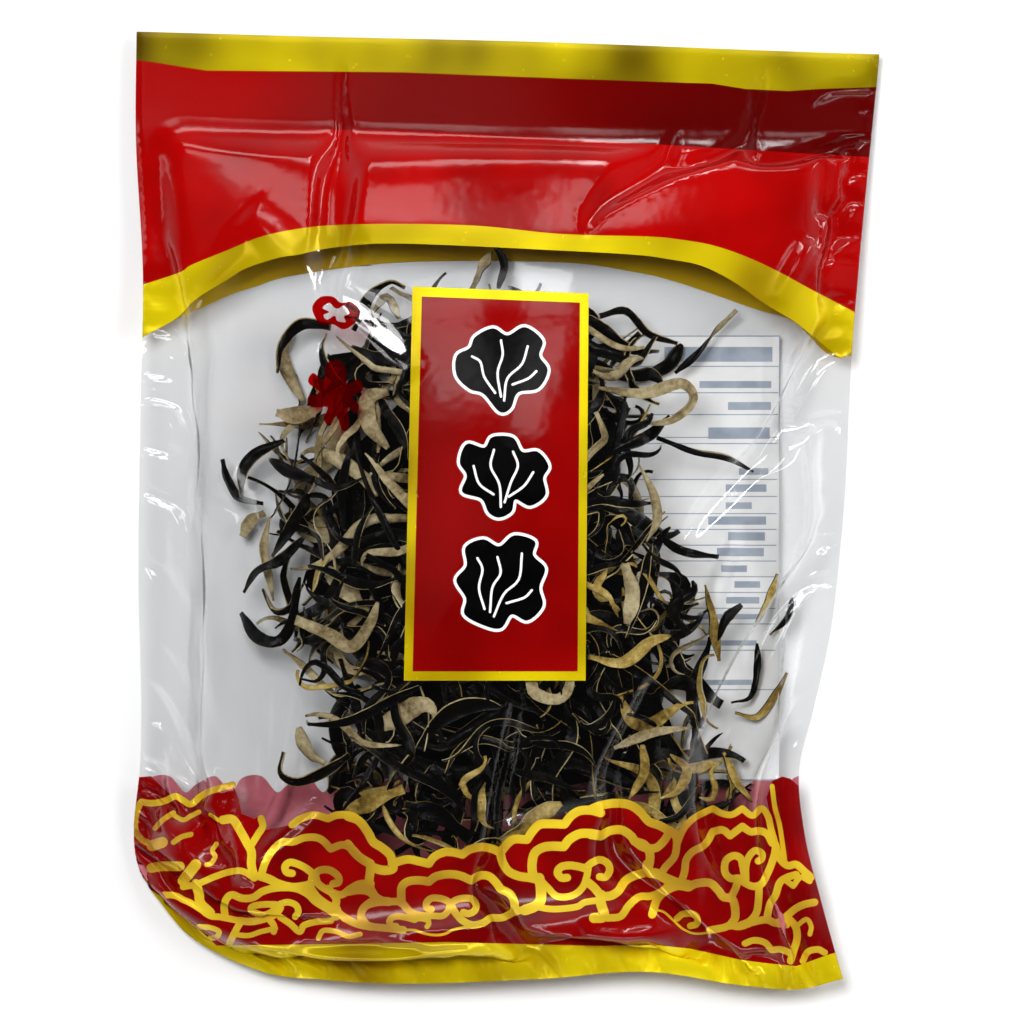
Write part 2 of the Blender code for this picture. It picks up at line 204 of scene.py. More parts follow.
# Print, measured in the photograph as seen from its camera: outlines in mm on the level MEASURED_AT
AIM = (1.2, -0.5)
CAMERA_HEIGHT = 1400.0
MEASURED_AT = 8.0
TOP_STRIP = (
    (-92, 103.9), (-84.5, 102.7), (-79.9, 102.1), (-73.9, 101.1), (-68.6, 100.3), (-47.4, 100.1),
    (-24.2, 99.9), (12.3, 98.5), (32.1, 97.8), (47, 97.3), (54.4, 96.1), (64.3, 95.6), (71.7, 96.1),
    (83.8, 96.5), (92, 96.6),
)
SEAL_LINE = (
    (-92, 87.7), (-77.9, 87.3), (-24.2, 86.6), (12.3, 84.8), (76.2, 80.9), (92, 80.0),
)
ARCH_TOP = (
    (-92, 48.6), (-82.8, 51.5), (-74.7, 54.2), (-71.8, 56), (-63.7, 59.3), (-56, 62.4),
    (-47.4, 64.2), (-39.2, 65), (-24.2, 65.3), (-6, 64.8), (12.3, 63), (32.1, 62.4), (39.6, 61.7),
    (47, 60.4), (54.4, 57.9), (61.8, 54.5), (69.2, 50.5), (78.2, 45.8), (92, 38.5),
)
ARCH_FOOT = (
    (-92, 34), (-82.9, 39.6), (-75.4, 43.7), (-71, 48.1), (-63.7, 52.6), (-59.6, 55.1),
    (-52.3, 57.5), (-47.4, 58.3), (-39.3, 59.9), (-24.2, 60.8), (12.3, 59.2), (29.6, 58.2),
    (37.1, 57.2), (44.5, 55.7), (51.9, 52), (59.3, 46.8), (65.8, 42.9), (71.7, 38.1), (76.2, 34.7),
    (78.2, 35.7), (92, 42),
)
BACK_ARCH_FOOT = (
    (-92, 34), (-82.8, 39.6), (-74.7, 43.9), (-68.6, 46.7), (-62.9, 49.2), (-57.2, 51),
    (-48.2, 53.6), (-24.2, 56.5), (12.3, 56.5), (29.6, 54.2), (37.1, 52.5), (47, 49.3),
    (56.9, 45.8), (65.8, 42.9), (76, 34.7), (92, 42),
)
BOTTOM_STRIP = (
    (-92, -78), (-82.2, -84.6), (-81.4, -86.9), (-76.1, -91.3), (-70.7, -95.3), (-66.3, -99.5),
    (-35.6, -99.1), (-13.8, -98.7), (21.4, -99.6), (33.2, -99.3), (41.9, -100.2), (53.2, -102.7),
    (58.2, -103.4), (66.1, -104.2), (73.7, -101.5), (92, -97),
)
BAND_LEFT = (
    (-92, -61.4), (-81.2, -60.9), (-77.2, -64.7), (-72.1, -67.2), (-67, -64), (-62.7, -62.3),
    (-61.2, -66.1), (-60.5, -69.4), (-57.6, -70.5), (-56.1, -69.8), (-55, -73.1),
)
BAND_RIGHT = (
    (59.3, -65.7), (60.7, -61.8), (63, -60.9), (64.8, -61.4), (66.4, -62.9), (92, -62.9),
)
BAND_RIMS = ("b_rim", "mid_top", "mid_rim", "right_rim", "r_rim", "e_rim")
LABEL_OUT = ((-21.5, 51), (18.7, 49.4), (18, -39), (-23.5, -39))
LABEL_IN = ((-19.4, 48.7), (16.7, 47.3), (16.2, -36.9), (-21.5, -36.9))
PANEL = ((19.2, 39.8), (62.5, 39.8), (61.4, -61.8), (19.2, -61.8))
PANEL_SIDES = (19.5, 62.2)
ABOVE = ((92, 125), (-92, 125))
BELOW = ((92, -125), (-92, -125))

# Cloud scroll: each stroke's width and the points along its middle; a point given twice is a cusp
CLOUD_LINES = {
    "mid_top": (2.0, ((-36.3, -70), (-33.8, -71), (-31.8, -73.5), (-30.5, -75.8), (-28.7, -77),
        (-26.7, -78.7), (-26.1, -80.5))),
    "mid_rim": (1.9, ((-26.1, -80.9), (-24.7, -80.3), (-22.5, -79.8), (-19.9, -80.3), (-17.8, -80.8),
        (-17.8, -80.8), (-16.5, -79.2), (-14.3, -78.2), (-12.3, -78.2), (-10.1, -78.7), (-10.1, -78.7),
        (-8.5, -77.6), (-5.8, -77), (-3.4, -77.4), (-1.5, -78.3))),
    "right_rim": (2.0, ((-1.5, -78.3), (-1.5, -78.3), (0.3, -76.1), (1.9, -75.2), (4.6, -75.3),
        (4.6, -75.3), (5.9, -73.4), (7.5, -71.9), (9.9, -71.7), (13.2, -71.8), (13.2, -71.8),
        (14.6, -70), (16.5, -68.8), (19, -68.6), (21.5, -69.2))),
    "mid_neck": (2.0, ((-1.5, -78.3), (-0.9, -80.5), (0.4, -82.5), (2.6, -83.6), (5.2, -84),
        (7.4, -84.5))),
    "mid_ring": (1.9, ((-24, -89.8), (-24.1, -87.4), (-23.8, -85.8), (-22.3, -84.8), (-19.9, -84.6),
        (-17.8, -84.9), (-17.8, -84.9), (-16.1, -83.7), (-13.4, -83.2), (-10.7, -83.5), (-8.1, -84.6),
        (-8.1, -84.6), (-6.1, -83.5), (-4, -83.7), (-2.4, -85.2), (-1.4, -86.6), (-1.4, -86.6),
        (0.8, -87.8), (1.8, -90), (1.6, -91.8))),
    "mid_keel": (1.7, ((4.1, -91.2), (1.6, -91.9), (-1, -93.1), (-3.6, -93.2), (-5.4, -94.3),
        (-7.8, -94.8), (-9.9, -93.9), (-11.6, -92.2), (-12.9, -90.1))),
    "mid_curl_left": (1.6, ((-12.7, -90), (-13.8, -89.2), (-15.4, -88.7), (-17.2, -88.7),
        (-18.3, -89.7), (-18.2, -90.9), (-17.2, -91.2))),
    "mid_curl_right": (1.6, ((-12.9, -90), (-11.6, -89.1), (-9.8, -88.7), (-7.9, -88.9), (-7, -90.3),
        (-7.4, -91.6), (-8.7, -92.2), (-9.9, -91.9))),
    "mid_cup": (1.5, ((-24, -89.8), (-22.9, -91.1), (-21, -92.2), (-18.9, -92.6), (-16.7, -92.7),
        (-14.7, -92.7), (-13.4, -91.6), (-13, -90.1))),
    "small_rim": (1.7, ((-24.7, -89.4), (-27.2, -89.5), (-29.8, -89.7), (-32, -90.4), (-33.1, -91.8),
        (-33.1, -94), (-30.9, -95.1), (-27.6, -95.5), (-23.6, -95.9))),
    "small_side": (1.7, ((-23.6, -90), (-22.3, -91.6), (-21, -93.1), (-19.6, -93.1), (-18.1, -93.4))),
    "small_curl_left": (1.5, ((-21, -93.6), (-22.9, -93.1), (-24.7, -92.8), (-26.1, -93.1),
        (-26.8, -94), (-26.3, -94.9), (-25.2, -95.1))),
    "small_curl_right": (1.2, ((-21, -93.6), (-19.6, -93.2), (-18.2, -93.6), (-17.8, -94.4),
        (-18.2, -95.2))),
    "small_line": (0.6, ((-23.6, -95.9), (-21, -96), (-18.9, -96.7), (-16.3, -97.1), (-14.1, -96.8),
        (-12.3, -95.9), (-10.1, -95.4), (-6.8, -95.1))),
    "left_end": (2.0, ((-36.3, -76.3), (-34.5, -78.5), (-32.7, -80), (-31.1, -81), (-31.2, -82.7),
        (-31.4, -85.6), (-30.3, -88), (-28.7, -89.2), (-26.9, -89.5))),
    "left_bridge": (2.1, ((-31.1, -81.5), (-28.3, -82.3), (-26.1, -82), (-26.1, -80.9))),
    "left_foot": (1.7, ((-36.3, -87.3), (-33.8, -86.9), (-31.6, -87.2), (-29.8, -88.6),
        (-28.3, -89.4))),
    "pole": (2.4, ((7.4, -84.1), (7.8, -86.3), (7.7, -89.2), (6.3, -90.6), (4.1, -91.4))),
    "right_ring": (2.1, ((6.3, -84.1), (5.8, -82.3), (5.9, -79.8), (6.6, -78.1), (8.3, -77.1),
        (10.3, -76.8), (13, -76.9), (13, -76.9), (14.4, -75.2), (16.6, -74), (19, -73.9),
        (21.5, -74.3))),
    "right_curl_left": (1.8, ((18.3, -82), (16.1, -81.4), (13.9, -81.2), (12.2, -81.7), (11.6, -82.9),
        (12.5, -84), (13.8, -84))),
    "right_keel": (1.6, ((7.4, -84.3), (9.4, -86.3), (11.2, -88.1), (13.4, -88.4), (15.7, -87.7),
        (17.4, -86.1), (18.2, -84), (18.6, -82))),
    "right_under": (1.5, ((6.3, -90.5), (9.5, -91.1), (12.4, -91.1), (16.1, -90.6), (17.9, -89.6),
        (21.5, -89.1))),
    "r_rim": (2.0, ((19.2, -68.4), (19.2, -68.4), (21.5, -67.5), (24.9, -67), (28.1, -67.4),
        (30.5, -69), (32.4, -71.1), (34.7, -72), (36.6, -73), (39.3, -74.6))),
    "r_ring": (2.0, ((19.2, -74.2), (21.5, -74.5), (21.5, -74.5), (23.5, -73.3), (26.2, -73.1),
        (28.3, -74.4), (29.2, -75.7), (29.2, -75.7), (31.3, -76.4), (32.5, -78), (32.7, -79.9),
        (32.1, -82.6))),
    "r_bud": (1.9, ((29.2, -75.7), (31.3, -77.1), (34, -77.2), (35.8, -75.7), (37, -73.9))),
    "r_curl_right": (1.7, ((18.4, -81.4), (19.6, -80.5), (21.3, -79.9), (23, -80.7), (23.5, -82.3),
        (22.6, -83.8), (21.2, -83.8))),
    "r_keel": (2.0, ((18.2, -84.8), (19.9, -86.2), (21.5, -87.9), (23.4, -88.2), (25.4, -87.1),
        (27, -84.8), (29, -83.6), (32.1, -82.7))),
    "r_stem": (2.3, ((21.5, -87.9), (21.5, -89.8), (22.2, -92.8), (19.9, -93.2))),
    "r_trunk": (2.3, ((32.1, -81), (32.3, -82.7), (34.3, -83.1), (36.2, -84.1), (38.9, -85.2),
        (41.5, -85.7))),
    "r_limb": (1.7, ((37.4, -73.1), (38.7, -75), (38.7, -77.6), (38.1, -79.5), (36.4, -81.4),
        (35.5, -82.7))),
    "r_shelf": (1.7, ((23, -93.2), (26, -92.8), (27.9, -90.3), (30.2, -88.4), (32.8, -88.2),
        (35.1, -87.3), (36.6, -86), (37.4, -84.5))),
    "e_rim": (1.5, ((38.5, -78), (39.4, -75), (40.8, -72.3), (42.9, -70.3), (45.3, -69), (47, -68.2),
        (47, -68.2), (49.1, -69.3), (51.4, -69.6), (53.8, -68.2), (53.8, -68.2), (56.1, -69.8),
        (58.2, -68.2), (59.7, -70.1), (60.3, -72.7), (61.4, -76.5))),
    "e_ring": (1.7, ((39.8, -85.2), (40.6, -82.6), (41, -79.9), (42.5, -78), (44.6, -76.9),
        (45.9, -75.6), (47, -73.5), (47, -73.5), (49.3, -73.1), (51, -74.4), (51, -74.4),
        (53.8, -72.3), (53.8, -72.3), (55.7, -73.5), (57.4, -73.3), (59.3, -73.9), (60.6, -76.1))),
    "e_curl_left": (1.7, ((54.4, -84.5), (53.9, -81.4), (53.3, -79.5), (51.7, -79), (50, -80.2),
        (49.8, -82.6), (51, -84.1), (52.9, -84.1))),
    "e_curl_right": (1.6, ((54.6, -84.5), (54.6, -81.4), (55.3, -79.2), (56.7, -77.8), (58.2, -78.4),
        (58.2, -79.7), (57.4, -80.2))),
    "e_keel": (1.7, ((52.9, -84.1), (54.4, -85.2), (56.3, -86), (58.2, -85.4), (59.5, -83.1),
        (60.5, -80.7), (61.2, -78.4), (61.4, -76.5))),
    "e_fork": (1.7, ((52.9, -84.1), (52.3, -86.3), (51.4, -88.2))),
    "e_leg": (1.7, ((57.6, -86), (57.5, -89), (57, -92), (55.5, -93.9), (53.3, -94.9))),
    "f_rim": (1.9, ((33.2, -92.4), (34.3, -89), (36.2, -87.1), (38.9, -85.9), (41.5, -86.2),
        (41.5, -86.2), (43.4, -85.3), (46.4, -85.2), (48.3, -86.9), (49.5, -88.4), (51.4, -88.8),
        (52.1, -90.7), (52.1, -93.2), (51, -94.9))),
    "f_curl": (1.5, ((38.9, -93.3), (40.2, -92.3), (42.1, -92.2), (43.4, -93), (43.4, -94.5),
        (41.9, -95))),
    "f_edge": (0.5, ((33.2, -91.3), (35.8, -91.8), (38.1, -93.8), (40.4, -95.8), (43.4, -96.8),
        (48, -96.2))),
    "f_keel": (1.7, ((46.4, -96), (49.5, -95.4), (51, -94.9), (53.3, -95.1), (56.3, -94.1),
        (59.3, -93.6), (61.2, -94.3), (63.9, -94.7))),
    "g_rim": (1.7, ((61.4, -76.5), (62.3, -79.5), (64.1, -81.2), (66.1, -81), (68, -82.6),
        (69.5, -83.9))),
    "g_side": (1.7, ((66.1, -83.3), (63.9, -84), (62.3, -85.2), (61.4, -87.9), (60.1, -90.1),
        (59.4, -93.2))),
    "g_notch": (1.3, ((63.3, -84.3), (65.4, -85.9), (65.4, -85.9), (67.1, -83.9), (69.2, -84.8))),
    "g_low": (1.7, ((62, -94.3), (63.9, -92.8), (65.9, -91.1), (68, -90.1), (70.3, -89.6))),
    "g_pole": (1.7, ((64.2, -93.2), (65.9, -95.1), (66.3, -97.7), (65.6, -100.4), (64.8, -103))),
    "g_curl": (1.1, ((66.1, -95.1), (68.4, -93.5), (69.5, -95.1), (69.2, -96.9))),
    "foot_bump": (1.5, ((54.4, -99), (56.5, -98.3), (58.9, -98.8), (60.5, -100.5), (60.5, -100.5),
        (62.7, -100.4), (65.4, -101.5))),
    "g_foot": (1.5, ((67.6, -103), (68.8, -100.9), (71.1, -100.4), (72.6, -101.1))),
    "roll_line": (1.1, ((60.6, -63.1), (61.2, -67.8), (62.3, -72), (63.1, -77.3), (63.6, -81))),
    "b_rim": (1.7, ((-49, -71.9), (-47.3, -70.7), (-44.1, -69.7), (-40.8, -70.5), (-40.8, -70.5),
        (-38.6, -69.7), (-35.3, -69.9), (-32.8, -71.9), (-31, -74.5))),
    "b_ring": (1.7, ((-56.1, -83.6), (-55.2, -80.7), (-53.5, -77.8), (-51.3, -75.9), (-48.8, -75.8),
        (-46.3, -74.9), (-43.7, -74.8), (-41.9, -75.6), (-40.2, -77.4), (-40.2, -77.4), (-37.5, -76.5),
        (-35.3, -77.4), (-33.5, -79.2), (-31, -80.7))),
    "b_curl_left": (1.7, ((-44.1, -83.2), (-45.9, -81.8), (-47.7, -80.9), (-49.5, -80.5),
        (-50.6, -81.4), (-50.3, -82.7), (-49, -83))),
    "b_curl_right": (1.7, ((-44.4, -83.6), (-42.6, -82.3), (-40.4, -82.3), (-38.6, -83.6),
        (-38.4, -85), (-39.7, -85.4))),
    "b_cup": (2.0, ((-56.4, -83.6), (-54.3, -84.3), (-52.1, -85.4), (-49.5, -86.1), (-47.3, -86.1),
        (-44.8, -85.4), (-44.2, -83.6))),
    "b_keel": (1.7, ((-43.7, -83.6), (-43, -85.4), (-40.8, -86.9), (-37.9, -87.9), (-35.7, -86.5),
        (-33.5, -85.4), (-31, -85.4))),
    "b_drop": (2.2, ((-45.2, -86.1), (-43.3, -88.7), (-40.8, -90.5), (-39, -91.2), (-39, -92.7))),
    "b_link": (1.8, ((-40.8, -86.5), (-39, -88.7), (-39, -91.2), (-37.2, -93), (-34.2, -94.5),
        (-31, -95.2))),
    "a_spine": (2.0, ((-64.8, -70.8), (-62.6, -70.7), (-61, -73), (-59.4, -75.9), (-58.3, -78.1),
        (-58.3, -81), (-57.7, -83.9))),
    "a_fork": (1.6, ((-58.4, -76.7), (-56.8, -74.1), (-55.7, -72.3), (-56.1, -70.5))),
    "a_keel": (1.5, ((-73.9, -86.1), (-70.6, -85.4), (-67, -83.9), (-63.4, -82.7), (-60.4, -82.5),
        (-57.7, -84))),
    "a_rim_low": (1.5, ((-83.7, -67), (-84.7, -69.7), (-84.8, -73), (-83.4, -75.2), (-81.4, -76.3))),
    "a_rim_top": (1.5, ((-83.4, -66.7), (-80.8, -67), (-77.9, -66.4), (-75.7, -65.4), (-73.9, -66.3),
        (-72.1, -67.2), (-69.9, -65.4), (-67.7, -64.2), (-65.5, -63.6), (-62.6, -62.8))),
    "a_bar": (1.2, ((-80.3, -72.7), (-78.5, -70.8), (-76.1, -69.2))),
    "a_wave": (1.1, ((-76.1, -69.7), (-73.9, -70.8), (-72.1, -69.9), (-70.3, -69))),
    "a_curl": (1.2, ((-76.1, -75.9), (-74.3, -74.7), (-72.1, -74.1))),
    "a_patch": (2.5, ((-81, -76.7), (-78.6, -75.9))),
    "a_dash": (0.9, ((-67.7, -69.6), (-65.9, -70.8), (-64.5, -70.8))),
    "a_hook": (1.1, ((-66.3, -76.3), (-67.2, -77.8), (-66.6, -79.2), (-67.5, -80.7), (-68.5, -81))),
    "a_shelf": (2.2, ((-81.2, -81.8), (-78.6, -81.4), (-74.6, -81.4))),
    "a_tab": (2.5, ((-73.9, -84.7), (-72.5, -82.9), (-71, -81))),
    "h_rim": (1.5, ((-78.3, -87.9), (-75.7, -88.1), (-73.9, -89), (-72.1, -89.8), (-69.9, -91.2),
        (-67.7, -92.7), (-65.2, -93), (-61.2, -93.8))),
    "h_post": (2.2, ((-71, -85.4), (-70.3, -87.6), (-69.9, -89.8), (-67.7, -92))),
    "h_ring": (1.7, ((-64.3, -93), (-64.5, -90.5), (-63.9, -88.7), (-62.6, -87.9), (-60.4, -88.7),
        (-57.9, -88.5), (-55.7, -87.1), (-52.4, -86.3), (-48.4, -86.4), (-45.5, -87.7), (-43.7, -89.4),
        (-41.2, -91), (-39.2, -92.3))),
    "h_curl_left": (1.5, ((-53.2, -91.6), (-55.4, -92.5), (-57.2, -92.1), (-58.4, -91.4),
        (-57.9, -90.5), (-55.4, -90.1), (-52.8, -90.1))),
    "h_curl_right": (1.5, ((-53.2, -90.9), (-51.7, -90), (-49.9, -89.6), (-48.1, -90.3),
        (-47.6, -91.8), (-48.3, -92.9))),
    "h_keel": (1.7, ((-61.2, -93.8), (-58.3, -94), (-55.4, -93.4), (-52.8, -92.3), (-51.7, -90.9))),
    "h_low": (1.5, ((-51.7, -93), (-49.5, -94.5), (-47.3, -96.3), (-46.3, -94.9), (-43.7, -94.1),
        (-40.1, -93.8))),
    "h_curl_low": (1.2, ((-70.3, -95.2), (-67.7, -95.4), (-65.7, -96.3), (-66.3, -97.6),
        (-67.7, -97.8))),
    "h_foot": (1.6, ((-63.4, -99.1), (-62.3, -96.9), (-61, -94.5), (-60.4, -93.8))),
    "h_shelf": (1.2, ((-62.6, -96.9), (-59, -97.2), (-56.1, -96.3), (-52.8, -95.6))),
    "h_step": (1.5, ((-54.3, -93.4), (-53.2, -94.9), (-53.2, -96.3))),
    "j_ring": (1.6, ((-31, -89.4), (-32.8, -90.9), (-33.3, -92.7), (-32.1, -94.5))),
    "j_tongue": (1.2, ((-43, -97.8), (-41.9, -96.1), (-39, -96.3), (-36.1, -97.4), (-33.5, -96.9))),
}

# Strips that stand clear of the heap: plan route, width, and roll in degrees at either end
STRIPS = {
    "strip_left_hook": (((-65.0, 11.6), (-63.8, 6.6), (-61.1, 2.5), (-55.6, 1.4)), 3.2, 15, 60),
    "strip_left_arch": (((-60.6, 3.0), (-60.4, 8.9), (-56.7, 13.2), (-50.6, 15.8)), 3.4, 50, 20),
    "strip_left_curl": (((-55.4, -0.7), (-58.6, -2.5), (-60.4, -6.2)), 3.6, 165, 200),
    "strip_left_tail": (((-54.2, -1.6), (-55.6, -8.9), (-54.2, -16.2), (-53.3, -20.8)), 2.6, 160, 185),
    "strip_left_slope": (((-45.5, 3.9), (-49.2, -4.3), (-53.3, -10.7)), 3.6, 10, 30),
    "strip_left_sickle": (((-46.0, -6.2), (-51.5, -11.6), (-57.0, -14.2), (-59.9, -18.9)), 3.2, 20, 50),
    "strip_left_cup": (((-55.6, -18.0), (-52.9, -22.8), (-49.0, -21.7), (-47.1, -15.3)), 3.0, 70, 40),
    "strip_left_bow": (
        ((-60.6, -23.5), (-57.0, -28.8), (-51.9, -29.9), (-48.7, -25.3), (-47.6, -18.0)), 3.6, 40, 20),
    "strip_left_swan": (
        ((-47.8, -24.9), (-40.5, -28.1), (-35.0, -31.1), (-30.9, -25.8), (-29.1, -20.8)), 4.0, 185, 160),
    "strip_low_hook": (
        ((-50.6, -55.0), (-51.3, -59.6), (-47.8, -61.6), (-41.9, -59.6), (-35.5, -55.5)), 3.2, 50, 10),
    "strip_low_stub": (((-47.4, -49.5), (-45.5, -55.0), (-41.4, -57.8)), 3.8, 175, 200),
    "strip_low_scoop": (((-36.4, -68.3), (-30.9, -66.2), (-23.2, -63.0)), 4.4, 180, 170),
    "strip_low_fan": (((-8.1, -74.4), (-15.0, -69.2), (-22.9, -66.4)), 5.2, 10, -15),
    "strip_low_wide": (((12.4, -66.4), (5.6, -69.9), (-1.3, -75.1)), 5.0, 165, 180),
    "strip_crown_left": (((-52.4, 31.3), (-51.5, 37.7), (-46.9, 42.5), (-40.1, 41.8)), 3.6, 60, 20),
    "strip_crown_tan": (((-49.2, 40.9), (-51.5, 35.8), (-49.2, 29.9), (-46.5, 24.9)), 3.8, 190, 150),
    "strip_crown_horn": (((-41.0, 40.2), (-42.1, 36.3), (-40.1, 31.3), (-36.6, 28.1)), 3.0, 50, 15),
    "strip_crown_arc": (((-35.0, 40.9), (-31.4, 48.6), (-26.8, 52.1), (-23.2, 50.7)), 3.0, 30, 55),
    "strip_crown_fork": (((-30.5, 45.0), (-27.3, 48.2), (-24.5, 43.6)), 2.8, 170, 150),
    "strip_brow_tan": (((-52.4, 22.1), (-47.8, 21.5), (-41.9, 23.1)), 4.6, 170, 190),
    "strip_brow_c": (((-26.8, 26.7), (-31.4, 25.3), (-31.2, 19.4), (-26.8, 13.9)), 4.6, 175, 200),
    "strip_top_loop_a": (((-8.1, 50.0), (-5.8, 54.6), (-3.5, 59.1)), 3.0, 160, 130),
    "strip_top_loop_b": (((-3.1, 61.0), (-0.4, 56.5), (-1.9, 50.6)), 3.0, 60, 30),
    "strip_right_brow": (((21.1, 44.1), (27.1, 45.2), (32.1, 40.0), (38.9, 37.9)), 3.8, 20, 60),
    "strip_right_flag": (((52.6, 45.7), (47.4, 40.4), (43.9, 35.8), (38.5, 31.3)), 3.2, 150, 15),
    "strip_right_hoop": (
        ((20.7, 27.6), (30.7, 26.3), (39.4, 28.5), (42.1, 24.9), (37.1, 20.3), (29.3, 19.4)),
        4.2, 172, 140),
    "strip_right_blade": (((40.2, 38.0), (36.6, 32.9), (30.5, 30.3)), 5.0, 10, 0),
    "strip_right_spear": (((34.1, 16.4), (42.1, 13.5), (49.9, 12.1), (56.3, 8.7)), 3.0, 15, 65),
    "strip_right_s": (((29.8, 10.7), (33.4, 3.0), (34.1, -2.5), (31.6, -7.1)), 3.2, 195, 140),
    "strip_right_diag": (((34.2, -5.6), (39.6, -9.4), (48.1, -10.7)), 3.2, 25, 15),
    "strip_right_plank": (((26.6, -12.1), (28.4, -18.9), (27.1, -25.8)), 5.2, 182, 174),
    "strip_right_swash": (((18.4, -33.1), (26.1, -34.5), (32.5, -29.9), (37.1, -28.5)), 4.2, 175, 190),
    "strip_sprig_tan": (((61.8, -14.6), (59.5, -21.2), (56.3, -26.7)), 2.6, 165, 150),
    "strip_sprig_dark": (((65.2, -19.9), (64.0, -24.6), (60.2, -28.6)), 2.4, 20, 60),
    "strip_sprig_thumb": (((53.5, -21.7), (49.9, -24.9), (48.1, -29.9)), 3.4, 15, 30),
    "strip_sprig_leg": (((57.2, -30.5), (57.4, -36.3), (55.8, -42.7), (51.3, -44.1)), 2.8, 20, 55),
    "strip_sprig_long": (((64.0, -37.2), (61.3, -42.2), (57.2, -47.3), (52.2, -46.4)), 2.6, 170, 150),
    "strip_right_quill": (((45.3, -17.1), (46.9, -25.3), (48.5, -34.5)), 3.4, 160, 185),
    "strip_low_quill": (((30.7, -53.2), (30.9, -59.6), (27.5, -65.5)), 3.6, 182, 165),
    "strip_low_comma": (((37.1, -55.5), (40.8, -59.1), (38.9, -63.7), (34.8, -65.5)), 3.4, 165, 190),
    "strip_low_root": (((49.4, -55.5), (52.6, -62.3), (56.3, -66.9)), 3.0, 160, 175),
    "strip_low_dart": (((24.3, -53.9), (33.0, -50.6), (42.1, -49.4)), 3.2, 175, 160),
}


# Creases that the film was left with: (start, end) in plan, half width and height, all in mm
CREASES = (
    ((65.0, -60.5), (70.5, -104.0), 3.4, 3.6),
    ((61.2, -64.0), (64.4, -102.0), 1.6, -2.6),
    ((-61.5, -62.5), (-77.0, -80.0), 2.2, 3.4),
    ((-79.0, -60.5), (-66.0, -75.0), 2.0, -2.6),
    ((-60.0, -72.0), (-58.5, -86.0), 1.8, 2.6),
    ((-78.0, -80.0), (-62.0, -83.5), 1.8, 2.4),
    ((-70.0, -66.0), (-57.0, -66.5), 1.8, -2.0),
    ((-40.0, -66.5), (-56.0, -81.0), 1.4, 1.6),
    ((-68.0, 47.0), (-71.5, 34.0), 2.2, 1.8),
    ((-57.0, 58.0), (-68.0, 46.5), 3.2, 1.6),
    ((-60.0, 66.0), (-20.0, 27.0), 5.0, 2.4),
    ((-46.0, 52.0), (-30.0, 60.0), 3.0, -1.6),
    ((-78.0, 60.0), (-78.6, -40.0), 2.4, -1.8),
    ((73.0, 86.0), (70.0, 54.0), 2.6, -2.0),
    ((68.0, 60.0), (60.0, 46.0), 2.4, 1.6),
    ((20.0, -67.0), (-8.0, -76.0), 2.4, -1.2),
    ((39.0, -70.0), (43.0, -95.0), 3.0, 1.6),
    ((-70.0, -20.0), (-62.0, -52.0), 3.0, 1.5),
    ((-74.0, 0.0), (-60.0, -8.0), 2.2, 1.2),
    ((62.0, -4.0), (74.0, -24.0), 3.0, -1.4),
    ((10.0, -98.0), (52.0, -100.5), 2.0, -2.0),
    ((16.0, -94.0), (40.0, -97.0), 1.6, 2.2),
    ((-50.0, -99.0), (-20.0, -98.0), 1.6, -1.6),
    ((-30.0, -97.5), (10.0, -97.0), 1.3, 1.5),
)


def crease_relief(xy):
    """Height that the creases add at each plan position."""
    relief = np.zeros(xy.shape[:-1])
    for start, end, half_width, height in CREASES:
        start, along = np.array(start), np.array(end) - np.array(start)
        length = np.hypot(*along)
        offset = xy - start
        share = (offset @ along) / length**2
        nearest = offset - np.clip(share, 0, 1)[..., None] * along
        distance = np.sqrt((nearest**2).sum(-1))
        taper = np.sqrt(np.clip(4 * share * (1 - share), 0, 1))
        relief += height * taper * np.exp(-((distance / half_width) ** 2))
    return relief


def ripple(u, v, seed, count, slowest, fastest):
    """A seeded sum of sine waves in random directions, about 1 high."""
    pick = np.random.default_rng(seed)
    total = np.zeros_like(u)
    for _ in range(count):
        across, up = pick.uniform(slowest, fastest, 2) * pick.choice([-1, 1], 2)
        total += np.sin(2 * across * u + 2.6 * up * v + pick.uniform(0, TURN))
    return total / math.sqrt(count)


def flat_grid(step):
    """The places (u, v) of a regular grid on a web."""
    across = int(round(FLAT[0] / step)) + 1
    up = int(round(FLAT[1] / step)) + 1
    return np.meshgrid(np.linspace(-1, 1, across), np.linspace(-1, 1, up))


def grid_links(u, base):
    """The grid's links as pairs of slices, each with its length in the flat web and its stiffness."""
    rows, columns = u.shape
    across, up = FLAT[0] / (columns - 1), FLAT[1] / (rows - 1)
    links = []

    def add(first, second, flat_length, stiffness):
        drawn = np.sqrt(((base[second] - base[first]) ** 2).sum(-1))
        links.append((first, second, np.maximum(flat_length, drawn * 0.985), stiffness))

    every = slice(None)
    for k in (0, 1):
        add((every, slice(k, columns - 1, 2)), (every, slice(k + 1, columns, 2)), across, 1.0)
        add((slice(k, rows - 1, 2), every), (slice(k + 1, rows, 2), every), up, 1.0)
    diagonal = math.hypot(across, up)
    for k in (0, 1):
        low, high = slice(k, rows - 1, 2), slice(k + 1, rows, 2)
        add((low, slice(0, columns - 1)), (high, slice(1, columns)), diagonal, 0.2)
        add((low, slice(1, columns)), (high, slice(0, columns - 1)), diagonal, 0.2)
    return links


def pull(points, link, free):
    """Moves both ends of each link towards its flat length."""
    first, second, flat_length, stiffness = link
    a, b = points[first], points[second]
    gap = b - a
    length = np.sqrt((gap * gap).sum(-1)) + 1e-9
    free_a, free_b = free[first], free[second]
    share = stiffness * (length - flat_length) / length / np.maximum(free_a + free_b, 1e-6)
    a += (share * free_a)[..., None] * gap
    b -= (share * free_b)[..., None] * gap


